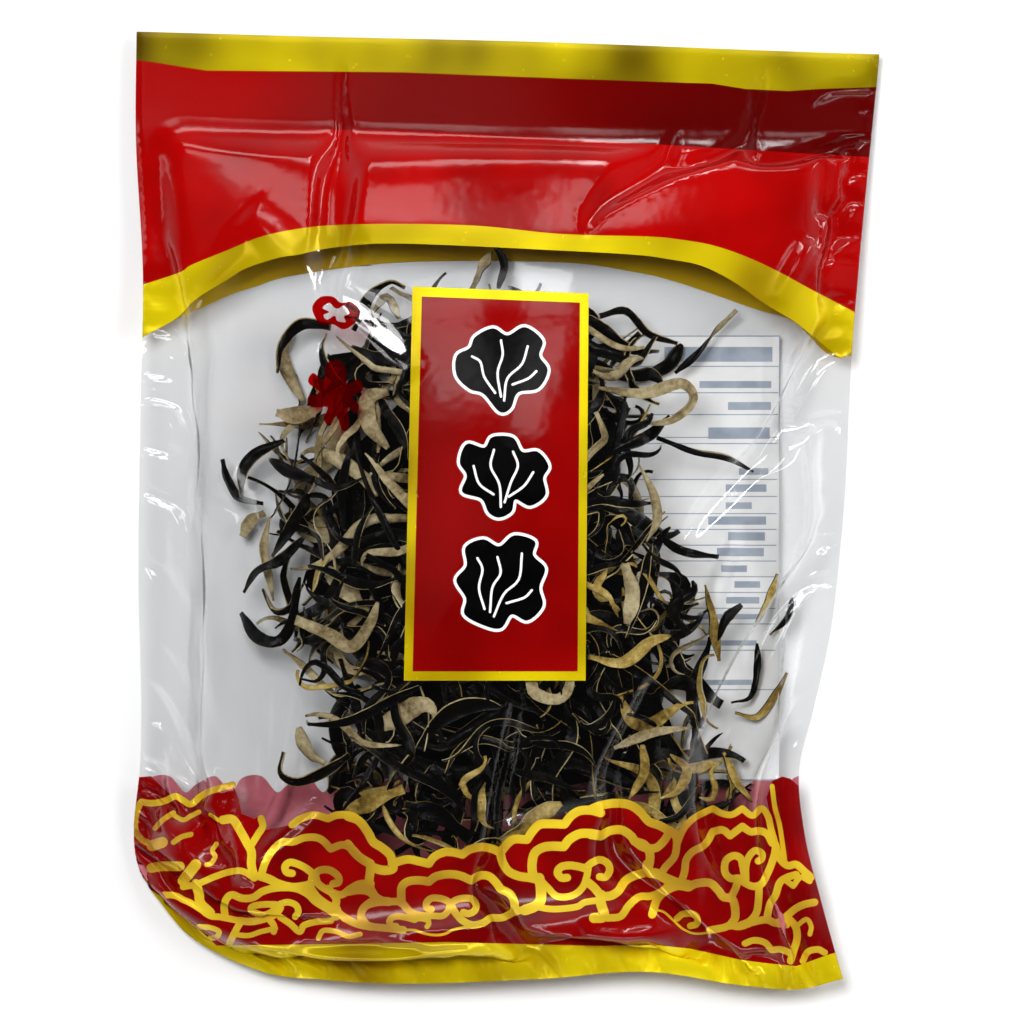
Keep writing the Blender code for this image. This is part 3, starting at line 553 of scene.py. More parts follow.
def unevenness(points):
    """How far each point is from the middle of its neighbours."""
    out = np.zeros_like(points)
    out[1:-1] += points[2:] + points[:-2] - 2 * points[1:-1]
    out[:, 1:-1] += points[:, 2:] + points[:, :-2] - 2 * points[:, 1:-1]
    return out


def finer(field, shape):
    """A grid of values spread over a finer grid."""
    rows, columns = field.shape[:2]
    a, b = np.linspace(0, rows - 1, shape[0]), np.linspace(0, columns - 1, shape[1])
    i, j = np.minimum(a.astype(int), rows - 2), np.minimum(b.astype(int), columns - 2)
    s, t = (a - i)[:, None, None], (b - j)[None, :, None]
    return (
        field[i][:, j] * (1 - s) * (1 - t)
        + field[i][:, j + 1] * (1 - s) * t
        + field[i + 1][:, j] * s * (1 - t)
        + field[i + 1][:, j + 1] * s * t
    )


def over_strips(u, v):
    """1 over the middle of the strips, where the film is taut, falling to 0 round them."""
    return smooth_step(0.75, 0.4, np.abs(u)) * smooth_step(0.62, 0.42, v) * smooth_step(-0.8, -0.6, v)


def looseness(u, v):
    """1 where the film is loose, falling to 0 at its welds."""
    free = smooth_step(1.0, 0.86, np.abs(u)) * smooth_step(-1.0, -0.9, v)
    return free * smooth_step(0.84, 0.74, v)


def stray_limits(u, v):
    """How far each place may stray up and down: little over the strips, and hardly at the welds."""
    least = 0.5
    return least + (STRAY_HEIGHT - least) * looseness(u, v) * (1 - 0.75 * over_strips(u, v))


def contact_map(u, points, room):
    """Height that the front web stays above at each grid place, so that it lies over the strips."""
    floor = np.full(u.shape, NO_CONTACT)
    if points is None:
        return floor
    rows, columns = u.shape
    across, up = place_of(points[:, 0], points[:, 1])
    column = np.clip(np.round((across + 1) / 2 * (columns - 1)).astype(int), 1, columns - 2)
    row = np.clip(np.round((up + 1) / 2 * (rows - 1)).astype(int), 1, rows - 2)
    reach = max(1, round(1.6 / (FLAT[0] / (columns - 1))))
    for i in range(-reach, reach + 1):
        for j in range(-reach, reach + 1):
            cells = (np.clip(row + i, 0, rows - 1), np.clip(column + j, 0, columns - 1))
            np.maximum.at(floor, cells, points[:, 2] + room)
    return floor


def eased(floor, heights):
    """A contact floor with its steps smoothed out, so that the web hangs evenly from strip to strip."""
    lift = np.maximum(floor - heights, 0)
    for _ in range(6):
        near = (lift[2:, 1:-1] + lift[:-2, 1:-1] + lift[1:-1, 2:] + lift[1:-1, :-2]) / 4
        lift[1:-1, 1:-1] = 0.4 * lift[1:-1, 1:-1] + 0.6 * near
    return np.maximum(heights + lift - 3.0 * np.clip(1 - lift / 0.6, 0, 1), 0)


def started(stray, u, v, seed, free):
    """How far a grid's points start from the part's shape: in ripples, then as the last grid ended."""
    if stray is None:
        first = FIRST_RIPPLE * ripple(u, v, seed, 14, 3, 14) * free * (1 - 0.8 * over_strips(u, v))
        return np.dstack([np.zeros_like(u), np.zeros_like(u), first])
    stray = finer(stray, u.shape)
    stray[..., 2] += FINE_RIPPLE * ripple(u, v, seed + 7, 20, 12, 40) * free
    return stray


def weld_target(partner, shape):
    """Where the other web holds this one at their welds; None for the web that settles first."""
    if partner is None:
        return None
    target = finer(partner, shape)
    target[..., 2] -= WELD_STACK
    return target


def held(points, base, limit, weld, target, floor):
    """Points kept near the part's shape, welded to the other web, and over what they cover."""
    stray = points - base
    stray[..., :2] = np.clip(stray[..., :2], -STRAY_PLAN, STRAY_PLAN)
    stray[..., 2] = np.clip(stray[..., 2], -limit, limit)
    points = base + stray
    if target is not None:
        points = points * (1 - weld) + target * weld
    points[..., 2] = np.clip(points[..., 2], floor, HIGHEST)
    return points


def web_shape(height, outwards, seed, under=None, partner=None):
    """A web's grid of points, after its slack has settled into wrinkles.

    under holds points that a front web lies over, and partner the other web, to which this one
    is welded along its edges.
    """
    stray = None
    for step, rounds, bending in GRIDS:
        u, v = flat_grid(step)
        xy = plan(u, v)
        base = np.dstack([xy, height(u, v)])
        base[..., 2] += outwards * crease_relief(xy) * (0.15 + 0.85 * looseness(u, v))
        edge = np.minimum(1 - np.abs(u), 1 - np.abs(v))
        free = np.clip(edge / 0.02, 0, 1)
        stiff = (bending * free * (1 + 1.3 * over_strips(u, v)))[..., None]
        floor = eased(contact_map(u, under, SKIN + CONTACT_ROOM), base[..., 2])
        weld, target = welded(u, v)[..., None], weld_target(partner, u.shape)
        limit, links = stray_limits(u, v), grid_links(u, base)
        points = base + started(stray, u, v, seed, free)
        for _ in range(rounds):
            points[..., 2] += PUSH * outwards * free
            for link in links:
                pull(points, link, free)
            points -= stiff * unevenness(unevenness(points))
            points = held(points, base, limit, weld, target, floor)
        stray = points - base
    return points


def welded(u, v):
    """1 where the webs are welded, falling to 0 just inside the welds."""
    side = smooth_step(0.86, SIDE_WELD, np.abs(u))
    top = smooth_step(0.745, 0.80, v)
    bottom = smooth_step(0.86, -BOTTOM_WELD, -v)
    return np.maximum(np.maximum(side, top), bottom)


def cubic_weights(t):
    """Weights of the four values around a place on a smooth cubic curve."""
    return np.stack(
        [
            -0.5 * t**3 + t**2 - 0.5 * t,
            1.5 * t**3 - 2.5 * t**2 + 1,
            -1.5 * t**3 + 2 * t**2 + 0.5 * t,
            0.5 * t**3 - 0.5 * t**2,
        ],
        -1,
    )


def surface(grid, flat):
    """Points of a web at places on the flat film, by smooth curves through its grid."""
    rows, columns = grid.shape[:2]
    padded = np.pad(grid, ((1, 1), (1, 1), (0, 0)), mode="reflect", reflect_type="odd")
    a = (flat[:, 1] / FLAT[1] + 0.5) * (rows - 1)
    b = (flat[:, 0] / FLAT[0] + 0.5) * (columns - 1)
    i = np.clip(np.floor(a).astype(int), 0, rows - 2)
    j = np.clip(np.floor(b).astype(int), 0, columns - 2)
    up, across = cubic_weights(a - i), cubic_weights(b - j)
    points = np.zeros((len(flat), 3))
    for m in range(4):
        for n in range(4):
            points += (up[:, m] * across[:, n])[:, None] * padded[i + m, j + n]
    return points


def surface_normals(grid, flat):
    """Upward normals of a web at places on the flat film."""
    step = 0.35
    along = surface(grid, flat + (step, 0)) - surface(grid, flat - (step, 0))
    up = surface(grid, flat + (0, step)) - surface(grid, flat - (0, step))
    normals = np.cross(along, up)
    return normals / np.linalg.norm(normals, axis=1)[:, None]


def seen(points):
    """Where the camera sees points, as plan places on the level of the measurements."""
    share = (CAMERA_HEIGHT - MEASURED_AT) / (CAMERA_HEIGHT - points[:, 2])
    return AIM + (points[:, :2] - AIM) * share[:, None]


def flat_of(grid, places):
    """The places on the flat film that the camera sees at the given places."""
    places = np.array(places, float)
    u, v = place_of(places[:, 0], places[:, 1])
    half = np.array(FLAT) / 2
    flat = np.stack([u, v], -1) * half
    for _ in range(24):
        flat = np.clip(flat + 0.8 * (places - seen(surface(grid, flat))), -half, half)
    return flat


def smooth_run(points, per_span=8):
    """A smooth curve through one run of points; two points stay as they are."""
    points = np.array(points, float)
    if len(points) < 3:
        return points
    knots = np.vstack([2 * points[0] - points[1], points, 2 * points[-1] - points[-2]])
    weights = cubic_weights(np.arange(per_span) / per_span)
    spans = [weights @ knots[i : i + 4] for i in range(len(points) - 1)]
    return np.vstack(spans + [points[-1:]])


def smooth_line(points, per_span=8):
    """Smooth curves through points, broken where one is given twice."""
    runs, run = [], [points[0]]
    for a, b in zip(points, points[1:]):
        if a == b:
            runs.append(run)
            run = [b]
        else:
            run.append(b)
    runs.append(run)
    return [smooth_run(run, per_span) for run in runs if len(run) > 1]


def stroke_outline(line, width):
    """The closed outline of a stroke of one width with round ends."""
    direction = np.gradient(line, axis=0)
    direction /= np.linalg.norm(direction, axis=1)[:, None] + 1e-9
    side = np.stack([-direction[:, 1], direction[:, 0]], -1) * width / 2
    turn = np.linspace(0, math.pi, 7)[1:-1, None]
    caps = []
    for end, sign in ((-1, 1), (0, -1)):
        round_end = side[end] * np.cos(turn) + direction[end] * width / 2 * np.sin(turn)
        caps.append(line[end] + sign * round_end)
    return np.vstack([line + side, caps[0], (line - side)[::-1], caps[1]])


def even_points(outline, step):
    """The same closed outline with points no further apart than step."""
    outline = np.array(outline, float)
    rows = []
    for a, b in zip(outline, np.roll(outline, -1, axis=0)):
        count = max(1, math.ceil(np.hypot(*(b - a)) / step))
        rows.append(a + (b - a) * (np.arange(count) / count)[:, None])
    return np.vstack(rows)


def inside(points, outline):
    """Whether each point lies inside a closed outline."""
    x, y = points[:, 0], points[:, 1]
    result = np.zeros(len(points), bool)
    low, high = outline.min(0), outline.max(0)
    near = np.nonzero((x > low[0]) & (x < high[0]) & (y > low[1]) & (y < high[1]))[0]
    x, y = x[near], y[near]
    odd = np.zeros(len(near), bool)
    for (x1, y1), (x2, y2) in zip(outline, np.roll(outline, -1, axis=0)):
        if y1 == y2:
            continue
        crosses = (y1 > y) != (y2 > y)
        odd ^= crosses & (x < (x2 - x1) * (y - y1) / (y2 - y1) + x1)
    result[near] = odd
    return result


def film_places(outlines):
    """Places on the flat film for a skin's points: an even stagger that leaves the outlines room."""
    half = np.array(FLAT) / 2
    rows = int(FLAT[1] / (SKIN_STEP * 0.87))
    columns = int(FLAT[0] / SKIN_STEP)
    x, y = np.meshgrid((np.arange(columns) + 0.5) / columns, (np.arange(rows) + 0.5) / rows)
    x = x + (np.arange(rows) % 2 - 0.5)[:, None] * 0.5 / columns
    places = (np.stack([x.ravel(), y.ravel()], -1) - 0.5) * FLAT
    cell = 0.45
    taken = set()
    for outline in outlines:
        for i, j in np.round(even_points(outline, 0.4) / cell).astype(int):
            taken.add((i, j))
    around = [(a, b) for a in (-1, 0, 1) for b in (-1, 0, 1)]
    keep = []
    for place, (i, j) in zip(places, np.round(places / cell).astype(int)):
        if not any((i + a, j + b) in taken for a, b in around):
            keep.append(place)
    rim = bar(-half[0], half[0], -half[1], half[1])
    return np.array(keep), even_points(rim, SKIN_STEP)


def triangulate(outlines):
    """Places and triangles of the whole flat film, with the outlines as edges."""
    places, rim = film_places(outlines)
    points, edges = [places], []
    count = len(places)
    for line in [rim] + outlines:
        ring = np.arange(len(line)) + count
        edges += list(zip(ring.tolist(), np.roll(ring, -1).tolist()))
        points.append(line)
        count += len(line)
    points = [Vector(p) for p in np.vstack(points)]
    found = delaunay_2d_cdt(points, edges, [], 0, 1e-4, False)
    flat = np.array([tuple(p) for p in found[0]])
    faces = np.array(found[2])
    a, b, c = (flat[faces[:, k]] for k in range(3))
    area = (b[:, 0] - a[:, 0]) * (c[:, 1] - a[:, 1]) - (b[:, 1] - a[:, 1]) * (c[:, 0] - a[:, 0])
    real = np.abs(area) > 1e-7
    faces, area = faces[real], area[real]
    faces[area < 0] = faces[area < 0][:, ::-1]
    return flat, faces


def paint(flat, faces, layers):
    """The print's name on each triangle: that of the last layer that covers its middle."""
    middles = flat[faces].mean(1)
    names = np.full(len(faces), "clear", dtype=object)
    for name, outline in layers:
        names[inside(middles, outline)] = name
    return names


def header_layers():
    """Front film's header: gold rim of the arch, red field, darker red weld and a gold strip in a darker
    gold, which is painted shade.
    """
    return [
        ("gold", (*smooth_run(ARCH_FOOT), *ABOVE)),
        ("red", (*smooth_run(ARCH_TOP), *ABOVE)),
        ("red_weld", SEAL_LINE + ABOVE),
        ("gold_top", TOP_STRIP + ABOVE),
    ]


def band_layers():
    """Front film's foot: red band under the scroll's rim, the gold scroll and the gold strip."""
    rim = list(BAND_LEFT)
    for name in BAND_RIMS:
        rim += [tuple(p) for line in smooth_line(CLOUD_LINES[name][1], 4) for p in line]
    layers = [("red_band", tuple(rim) + BAND_RIGHT + BELOW)]
    for width, points in CLOUD_LINES.values():
        for line in smooth_line(points):
            layers.append(("gold_scroll", stroke_outline(line, width)))
    layers.append(("gold", BOTTOM_STRIP + BELOW))
    return layers


def place_shape(points, middle, size, turn):
    """A shape's points, scaled and turned, at a place on the print."""
    angle = math.radians(turn)
    spin = np.array(((math.cos(angle), math.sin(angle)), (-math.sin(angle), math.cos(angle))))
    return (np.array(points, float) * size) @ spin + middle


def closed_smooth(points, per_span):
    """A smooth closed curve through points."""
    points = np.array(points, float)
    knots = np.vstack([points[-1:], points, points[:2]])
    weights = cubic_weights(np.arange(per_span) / per_span)
    return np.vstack([weights @ knots[i : i + 4] for i in range(len(points))])


def grown(outline, amount):
    """A closed outline moved outwards by an amount."""
    direction = np.roll(outline, -1, axis=0) - np.roll(outline, 1, axis=0)
    direction /= np.linalg.norm(direction, axis=1)[:, None] + 1e-9
    x, y = outline.T
    area = np.sum(x * np.roll(y, -1) - np.roll(x, -1) * y)
    return outline + np.stack([direction[:, 1], -direction[:, 0]], -1) * amount * np.sign(area)


# Generic wood ears on the label: outline and veins in a square from -1 to 1, middle, half size and
# turn in degrees
EARS = (
    (
        ((-0.15, -0.95), (0.1, -0.9), (0.3, -0.55), (0.75, -0.5), (1.0, -0.1), (0.85, 0.25),
         (0.95, 0.6), (0.6, 0.95), (0.2, 0.8), (-0.1, 1.0), (-0.5, 0.85), (-0.65, 0.6),
         (-0.95, 0.45), (-1.0, 0.0), (-0.75, -0.35), (-0.45, -0.5)),
        (((-0.02, -0.7), (0.1, -0.2), (0.45, 0.1), (0.62, 0.5)),
         ((-0.08, -0.6), (-0.1, -0.05), (0.05, 0.35), (0.05, 0.7)),
         ((-0.2, -0.5), (-0.4, -0.1), (-0.45, 0.25), (-0.62, 0.4)),
         ((0.2, -0.35), (0.55, -0.25), (0.75, -0.1))),
        (-1.1, 31.8),
        (10.4, 9.8),
        6,
    ),
    (
        ((0.05, -0.98), (0.3, -0.8), (0.35, -0.5), (0.7, -0.6), (1.0, -0.3), (0.9, 0.1),
         (0.98, 0.4), (0.7, 0.7), (0.35, 0.65), (0.1, 0.95), (-0.35, 0.9), (-0.5, 0.62),
         (-0.9, 0.65), (-1.0, 0.2), (-0.8, -0.1), (-0.85, -0.5), (-0.4, -0.6), (-0.2, -0.9)),
        (((0.05, -0.72), (-0.05, -0.2), (-0.3, 0.2), (-0.28, 0.6)),
         ((0.12, -0.6), (0.2, -0.1), (0.3, 0.3), (0.15, 0.62)),
         ((0.2, -0.45), (0.5, -0.15), (0.66, 0.2)),
         ((-0.15, -0.45), (-0.5, -0.25), (-0.68, 0.15))),
        (-0.9, 7.6),
        (10.2, 9.6),
        -8,
    ),
    (
        ((-0.4, -0.92), (-0.05, -0.98), (0.2, -0.7), (0.55, -0.85), (0.9, -0.55), (0.85, -0.15),
         (1.0, 0.25), (0.75, 0.55), (0.8, 0.85), (0.35, 1.0), (0.0, 0.78), (-0.35, 0.95),
         (-0.75, 0.8), (-0.75, 0.4), (-1.0, 0.1), (-0.8, -0.3), (-0.85, -0.65)),
        (((-0.2, -0.72), (0.05, -0.25), (0.4, 0.05), (0.5, 0.6)),
         ((-0.28, -0.62), (-0.2, -0.1), (0.0, 0.2), (-0.05, 0.55)),
         ((-0.4, -0.55), (-0.5, -0.1), (-0.4, 0.3), (-0.5, 0.55)),
         ((0.1, -0.45), (0.5, -0.35), (0.68, -0.2))),
        (-1.3, -16.6),
        (10.2, 10.6),
        3,
    ),
)

# Two small stamps, drawn as the ears are: a ring with a clear hole, and a flower
STAMP_RING = (
    (-1.0, -0.1), (-0.8, 0.7), (-0.3, 0.95), (0.1, 0.7), (0.55, 0.9), (1.0, 0.45), (0.9, -0.3),
    (0.5, -0.9), (0.0, -0.75), (-0.5, -0.95),
)
STAMP_HOLE = (
    (-0.62, 0.1), (-0.4, 0.55), (-0.1, 0.3), (0.1, 0.36), (0.3, 0.62), (0.62, 0.2), (0.42, -0.1),
    (0.55, -0.45), (0.15, -0.5), (-0.02, -0.22), (-0.3, -0.6), (-0.5, -0.35), (-0.3, -0.05),
)
STAMP_FLOWER = (
    (-0.15, 1.0), (0.3, 1.05), (0.55, 0.72), (0.5, 0.3), (0.95, 0.38), (1.05, 0.05), (0.6, -0.12),
    (0.8, -0.4), (0.6, -0.62), (0.36, -0.4), (0.3, -0.95), (0.02, -1.05), (-0.12, -0.6),
    (-0.45, -0.85), (-0.6, -0.6), (-0.4, -0.28), (-1.0, -0.2), (-1.05, 0.12), (-0.6, 0.2),
    (-0.95, 0.55), (-0.7, 0.8), (-0.35, 0.52),
)
STAMPS = (
    ("stamp", STAMP_RING, (-39.1, 45.0), (5.4, 3.6), -14),
    ("clear", STAMP_HOLE, (-39.1, 45.0), (5.0, 3.4), -14),
    ("stamp", STAMP_FLOWER, (-39.0, 26.0), (6.0, 7.6), 10),
)
EAR_RIM = 0.7
VEIN_WIDTH = 0.55


def label_layers():
    """Front film's label: gold border, red field and three generic wood ears; two small stamps."""
    layers = [("gold", LABEL_OUT), ("red_label", LABEL_IN)]
    for outline, veins, middle, size, turn in EARS:
        shape = closed_smooth(place_shape(outline, middle, size, turn), 6)
        layers.append(("white", grown(shape, EAR_RIM)))
        layers.append(("black", shape))
        for vein in veins:
            line = smooth_run(place_shape(vein, middle, size, turn), 5)
            layers.append(("white", stroke_outline(line, VEIN_WIDTH)))
    for ink, outline, middle, size, turn in STAMPS:
        layers.append((ink, closed_smooth(place_shape(outline, middle, size, turn), 5)))
    return layers


# Back panel: the gap under each rule, and plain bars above it as (left, right, height)
PANEL_ROWS = (
    (6.0, ((36.0, 60.8, 3.4),)),
    (5.0, ((44.0, 60.6, 1.6),)),
    (5.2, ((50.5, 60.6, 1.8),)),
    (1.4, ()),
    (8.2, ((46.0, 60.4, 2.6),)),
    (3.9, ((53.0, 60.2, 1.5),)),
    (3.9, ((50.0, 59.8, 1.7),)),
    (3.6, ((50.0, 56.5, 1.5),)),
    (3.6, ((46.0, 59.8, 1.9),)),
    (3.6, ((50.6, 59.6, 1.9),)),
    (3.6, ((48.0, 59.4, 1.9),)),
    (3.6, ((49.0, 55.5, 1.5),)),
    (3.6, ((52.0, 58.6, 1.5),)),
    (3.6, ((50.0, 58.4, 1.5),)),
    (6.0, ((44.0, 58.8, 1.2),)),
    (9.0, ((42.0, 58.0, 1.2),)),
    (9.0, ((40.0, 57.0, 1.2),)),
)
RULE_HEIGHT = 0.25
BAR_LIFT = 1.2


def bar(left, right, bottom, top):
    """An upright rectangle's corners."""
    return ((left, bottom), (right, bottom), (right, top), (left, top))


def back_scallops():
    """The upper edge of the back's band, as a row of shallow waves."""
    points = [(-92.0, -60.0)]
    for k in range(17):
        x = -84.0 + 10.5 * k
        points += [(x, -64.5), (x + 2.6, -61.2 - 1.5 * (k % 2)), (x + 7.0, -60.8)]
    return tuple(tuple(p) for line in smooth_line(points, 5) for p in line) + ((92.0, -62.0),)


def panel_layers():
    """Back film's white panel with rules and plain bars; its right side leans as in the photograph."""
    left, right = PANEL_SIDES
    top = PANEL[0][1]
    layers = [("rule", PANEL), ("white", bar(left, right, -61.5, 39.5))]
    y = 32.6
    for gap, words in PANEL_ROWS:
        lean = 0.012 * (top - y)
        layers.append(("rule", bar(left, right - lean, y, y + RULE_HEIGHT)))
        for start, end, height in words:
            layers.append(("rule", bar(start, end - lean, y + BAR_LIFT, y + BAR_LIFT + height)))
        y -= gap
    return layers


def back_layers():
    """Back film: header and foot as on the front, and the panel."""
    arch_foot = smooth_run(BACK_ARCH_FOOT)
    rim_width = 5.2
    layers = [
        ("gold", (*arch_foot, *ABOVE)),
        ("red", (*(arch_foot + (0, rim_width)), *ABOVE)),
        ("red_weld", SEAL_LINE + ABOVE),
        ("gold_top", TOP_STRIP + ABOVE),
        ("red_band", back_scallops() + BELOW),
        ("gold", BOTTOM_STRIP + BELOW),
    ]
    return layers + panel_layers()


def skin(name, grid, outwards, layers):
    """A web of film as a thin closed mesh: its print is on its own triangles, both faces."""
    outlines = [(layer, flat_of(grid, even_points(outline, 0.9))) for layer, outline in layers]
    flat, faces = triangulate([outline for _, outline in outlines])
    names = paint(flat, faces, outlines)
    points, normals = surface(grid, flat), surface_normals(grid, flat)
    if outwards < 0:
        faces, normals = faces[:, ::-1], -normals
    count = len(points)
    vertices = np.vstack([points, points - normals * SKIN])
    vertices[:, 2] = np.maximum(vertices[:, 2], 0)
    sides = rim_faces(faces, count)
    face_rows = faces.tolist()
    print_of = {edge: names[k] for k, face in enumerate(face_rows) for edge in edges_of(face)}
    inner_names = [INSIDE[layer] for layer in names]
    side_names = [print_of[(side[1], side[0])] for side in sides]
    all_faces = face_rows + (faces[:, ::-1] + count).tolist() + sides
    all_names = list(names) + inner_names + side_names
    piece = new_piece(name, vertices, all_faces, all_names)
    piece.data.normals_split_custom_set_from_vertices(np.vstack([normals, -normals]).tolist())
    return piece


def edges_of(face):
    """A triangle's edges, each in the triangle's own direction."""
    a, b, c = face
    return ((a, b), (b, c), (c, a))


def rim_faces(faces, count):
    """Faces that join the outer sheet's rim to the inner sheet's."""
    directed = {edge for face in faces.tolist() for edge in edges_of(face)}
    open_edges = sorted((a, b) for a, b in directed if (b, a) not in directed)
    return [[b, a, a + count, b + count] for a, b in open_edges]


def new_piece(name, vertices, faces, names):
    """A mesh object from millimetre vertices, with a material by name for each face."""
    mesh = bpy.data.meshes.new(name)
    mesh.from_pydata((np.array(vertices) * MM).tolist(), [], faces)
    used = sorted(set(names))
    for layer in used:
        mesh.materials.append(MATERIALS[layer])
    index = {layer: i for i, layer in enumerate(used)}
    mesh.polygons.foreach_set("material_index", [index[layer] for layer in names])
    mesh.polygons.foreach_set("use_smooth", [True] * len(faces))
    mesh.update()
    piece = bpy.data.objects.new(name, mesh)
    bpy.context.scene.collection.objects.link(piece)
    return piece


# Strips: thickness, distance between stations, and the places of a ribbon's points across it
STRIP_THICKNESS = 0.45
STRIP_STEP = 0.9
HERO_PLACES = (-1, -0.93, -0.6, -0.3, 0, 0.3, 0.6, 0.93, 1)
SMALL_PLACES = (-1, -0.86, -0.35, 0.35, 0.86, 1)

# Small strips: how many over and under the core, tries for each, lengths, slim and broad widths,
# the share that is slim, thickness, roll by the face that is up, and where most are dark side up
TOP_STRIPS = 640
LOW_STRIPS = 170
TRIES_EACH = 8
SMALL_LENGTH = (12, 40)
SLIM_WIDTH = (1.5, 3.1)
BROAD_WIDTH = (3.0, 5.4)
SLIM_SHARE = 0.6
SMALL_THICKNESS = (0.26, 0.42)
DARK_UP, PALE_UP, ON_EDGE = 0.0, math.pi, math.pi / 2
DARKEST = (0.0, -55.0)
DARK_REACH = 30.0

# Heap: extent of its height maps, room between it and the films, how far a strip may press into
# what it lies on, how much of a strip lies inside the outline, the core's distances to the upper
# film, the lower film and the outline, its rings as shares of the outline, and the outline
MAP_LOW = (-78.0, -92.0)
MAP_HIGH = (78.0, 66.0)
FILM_ROOM = 0.3
SINK = 0.9
SHARE_INSIDE = 0.74
CORE_SINK = 7.6
CORE_LIFT = 3.0
CORE_INSET = 9.0
CORE_RINGS = (0.72, 0.64, 0.54, 0.42, 0.28, 0.12)
TANGLE_OUTLINE = (
    (-47.0, 26.0), (-36.6, 36.3), (-24.1, 47.7), (-8.1, 49.0), (8.0, 49.3), (21.6, 42.7),
    (33.0, 36.0), (36.0, 24.9), (33.0, 12.0), (33.0, 0.5), (37.1, -11.6), (44.4, -23.1),
    (45.5, -39.0), (47.8, -52.7), (53.0, -66.3), (43.0, -75.8), (21.6, -80.9), (-1.3, -81.6),
    (-24.1, -76.0), (-41.0, -69.0), (-38.0, -52.7), (-45.5, -39.0), (-50.0, -25.3),
    (-50.5, -11.6), (-52.5, -0.2), (-55.0, 13.5),
)


Strip = namedtuple("Strip", "line at half rolls curl")


def unit(rows):
    """Each row scaled to length 1."""
    return rows / (np.linalg.norm(rows, axis=-1, keepdims=True) + 1e-9)


def route_line(route, step=STRIP_STEP):
    """Even stations along a smooth curve through a strip's plan route."""
    line = smooth_run(route, 24)
    lengths = np.hypot(*np.diff(line, axis=0).T)
    at = np.concatenate([[0], np.cumsum(lengths)])
    count = max(6, int(round(at[-1] / step)))
    even = np.linspace(0, at[-1], count + 1)
    return np.stack([np.interp(even, at, line[:, k]) for k in (0, 1)], -1), even


def node_heights(name, line, width):
    """Height of a CAD strip's middle at each place along its route, from the strip's own corners."""
    corners = np.array([v.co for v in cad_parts[name].data.vertices]) / MM
    headings = unit(np.gradient(line, axis=0))
    heights = np.full(len(line), np.nan)
    for i, (place, heading) in enumerate(zip(line, headings)):
        offset = corners[:, :2] - place
        ahead = offset @ heading
        aside = offset @ np.array((-heading[1], heading[0]))
        near = (np.abs(ahead) < 0.5) & (np.abs(aside) < width / 2 + 0.6)
        if near.sum() >= 2:
            heights[i] = (corners[near, 2].min() + corners[near, 2].max()) / 2
    known = np.nonzero(~np.isnan(heights))[0]
    return np.interp(np.arange(len(line)), known, heights[known])


def wander(pick, share, size, waves=3):
    """A smooth seeded wobble along a strip."""
    total = np.zeros_like(share)
    for k in range(1, waves + 1):
        total += pick.normal() / k * np.sin(math.pi * k * share * 1.7 + pick.uniform(0, TURN))
    return total * size


def ribbon(centres, rolls, half_widths, curl, thickness, places, skins):
    """Points, faces and face names of a curled strip with a dark face, a pale face and thin rims.

    centres are its middle line, rolls its turn about that line, curl how far its sides fold up
    for each half width, places where its points lie across, from -1 to 1, and skins what its pale
    face, left rim and right rim are made of.
    """
    headings = unit(np.gradient(centres, axis=0))
    level = unit(np.stack([-headings[:, 1], headings[:, 0], np.zeros(len(headings))], -1))
    up = np.cross(headings, level)
    sides = level * np.cos(rolls)[:, None] + up * np.sin(rolls)[:, None]
    normals = np.cross(headings, sides)
    place = np.array(places)
    bend = (place**2 - 0.35)[None, :] * curl[:, None]
    width = place * (1 - 0.16 * np.abs(curl)[:, None] * place**2)
    middle = (
        centres[:, None]
        + sides[:, None] * (width * half_widths[:, None])[..., None]
        + normals[:, None] * (bend * half_widths[:, None])[..., None]
    )
    swell = (thickness[:, None] / 2 * (1 - 0.4 * np.abs(place) ** 6))[..., None]
    lean = unit(normals[:, None] - sides[:, None] * (1.2 * curl[:, None] * place)[..., None])
    rings = np.concatenate([middle + swell * lean, (middle - swell * lean)[:, ::-1]], 1)
    return rings.reshape(-1, 3), *ribbon_faces(len(centres), len(places), *skins)


def ribbon_faces(stations, across, pale, left, right):
    """Faces of a ribbon's rings, and what each is made of."""
    ring = 2 * across
    kinds = ["strip_dark"] * across + [pale] * across
    for k in (0, ring - 2, ring - 1):
        kinds[k] = left or kinds[k]
    for k in (across - 2, across - 1, across):
        kinds[k] = right or kinds[k]
    faces = [
        (a + k, a + (k + 1) % ring, b + (k + 1) % ring, b + k)
        for a, b in ((i * ring, (i + 1) * ring) for i in range(stations - 1))
        for k in range(ring)
    ]
    last = (stations - 1) * ring
    faces += [tuple(range(ring))[::-1], tuple(last + k for k in range(ring))]
    return faces, kinds * (stations - 1) + ["strip_edge"] * 2


def seeded_skins(pick, place):
    """What a strip's pale face and rims are made of: more golden to the lower right."""
    golden = pick.random() < 0.35 + 0.008 * (place[0] - place[1])
    pale = "strip_gold" if golden else "strip_pale"
    left, right = (pick.choice(["strip_edge", ""], p=[0.26, 0.74]) for _ in range(2))
    return pale, left, right


def blade(pick, share, blunt):
    """Width of a strip along its length: drawn out to both ends, or blunt where it was cut."""
    lean = share ** pick.uniform(0.7, 1.4)
    body = np.sin(math.pi * np.clip(lean, 0.0, 1.0)) ** pick.uniform(0.45, 0.9)
    start, end = pick.uniform(0.08, blunt, 2)
    return np.maximum(body, start + (end - start) * share) * (1 + wander(pick, share, 0.06, 8))


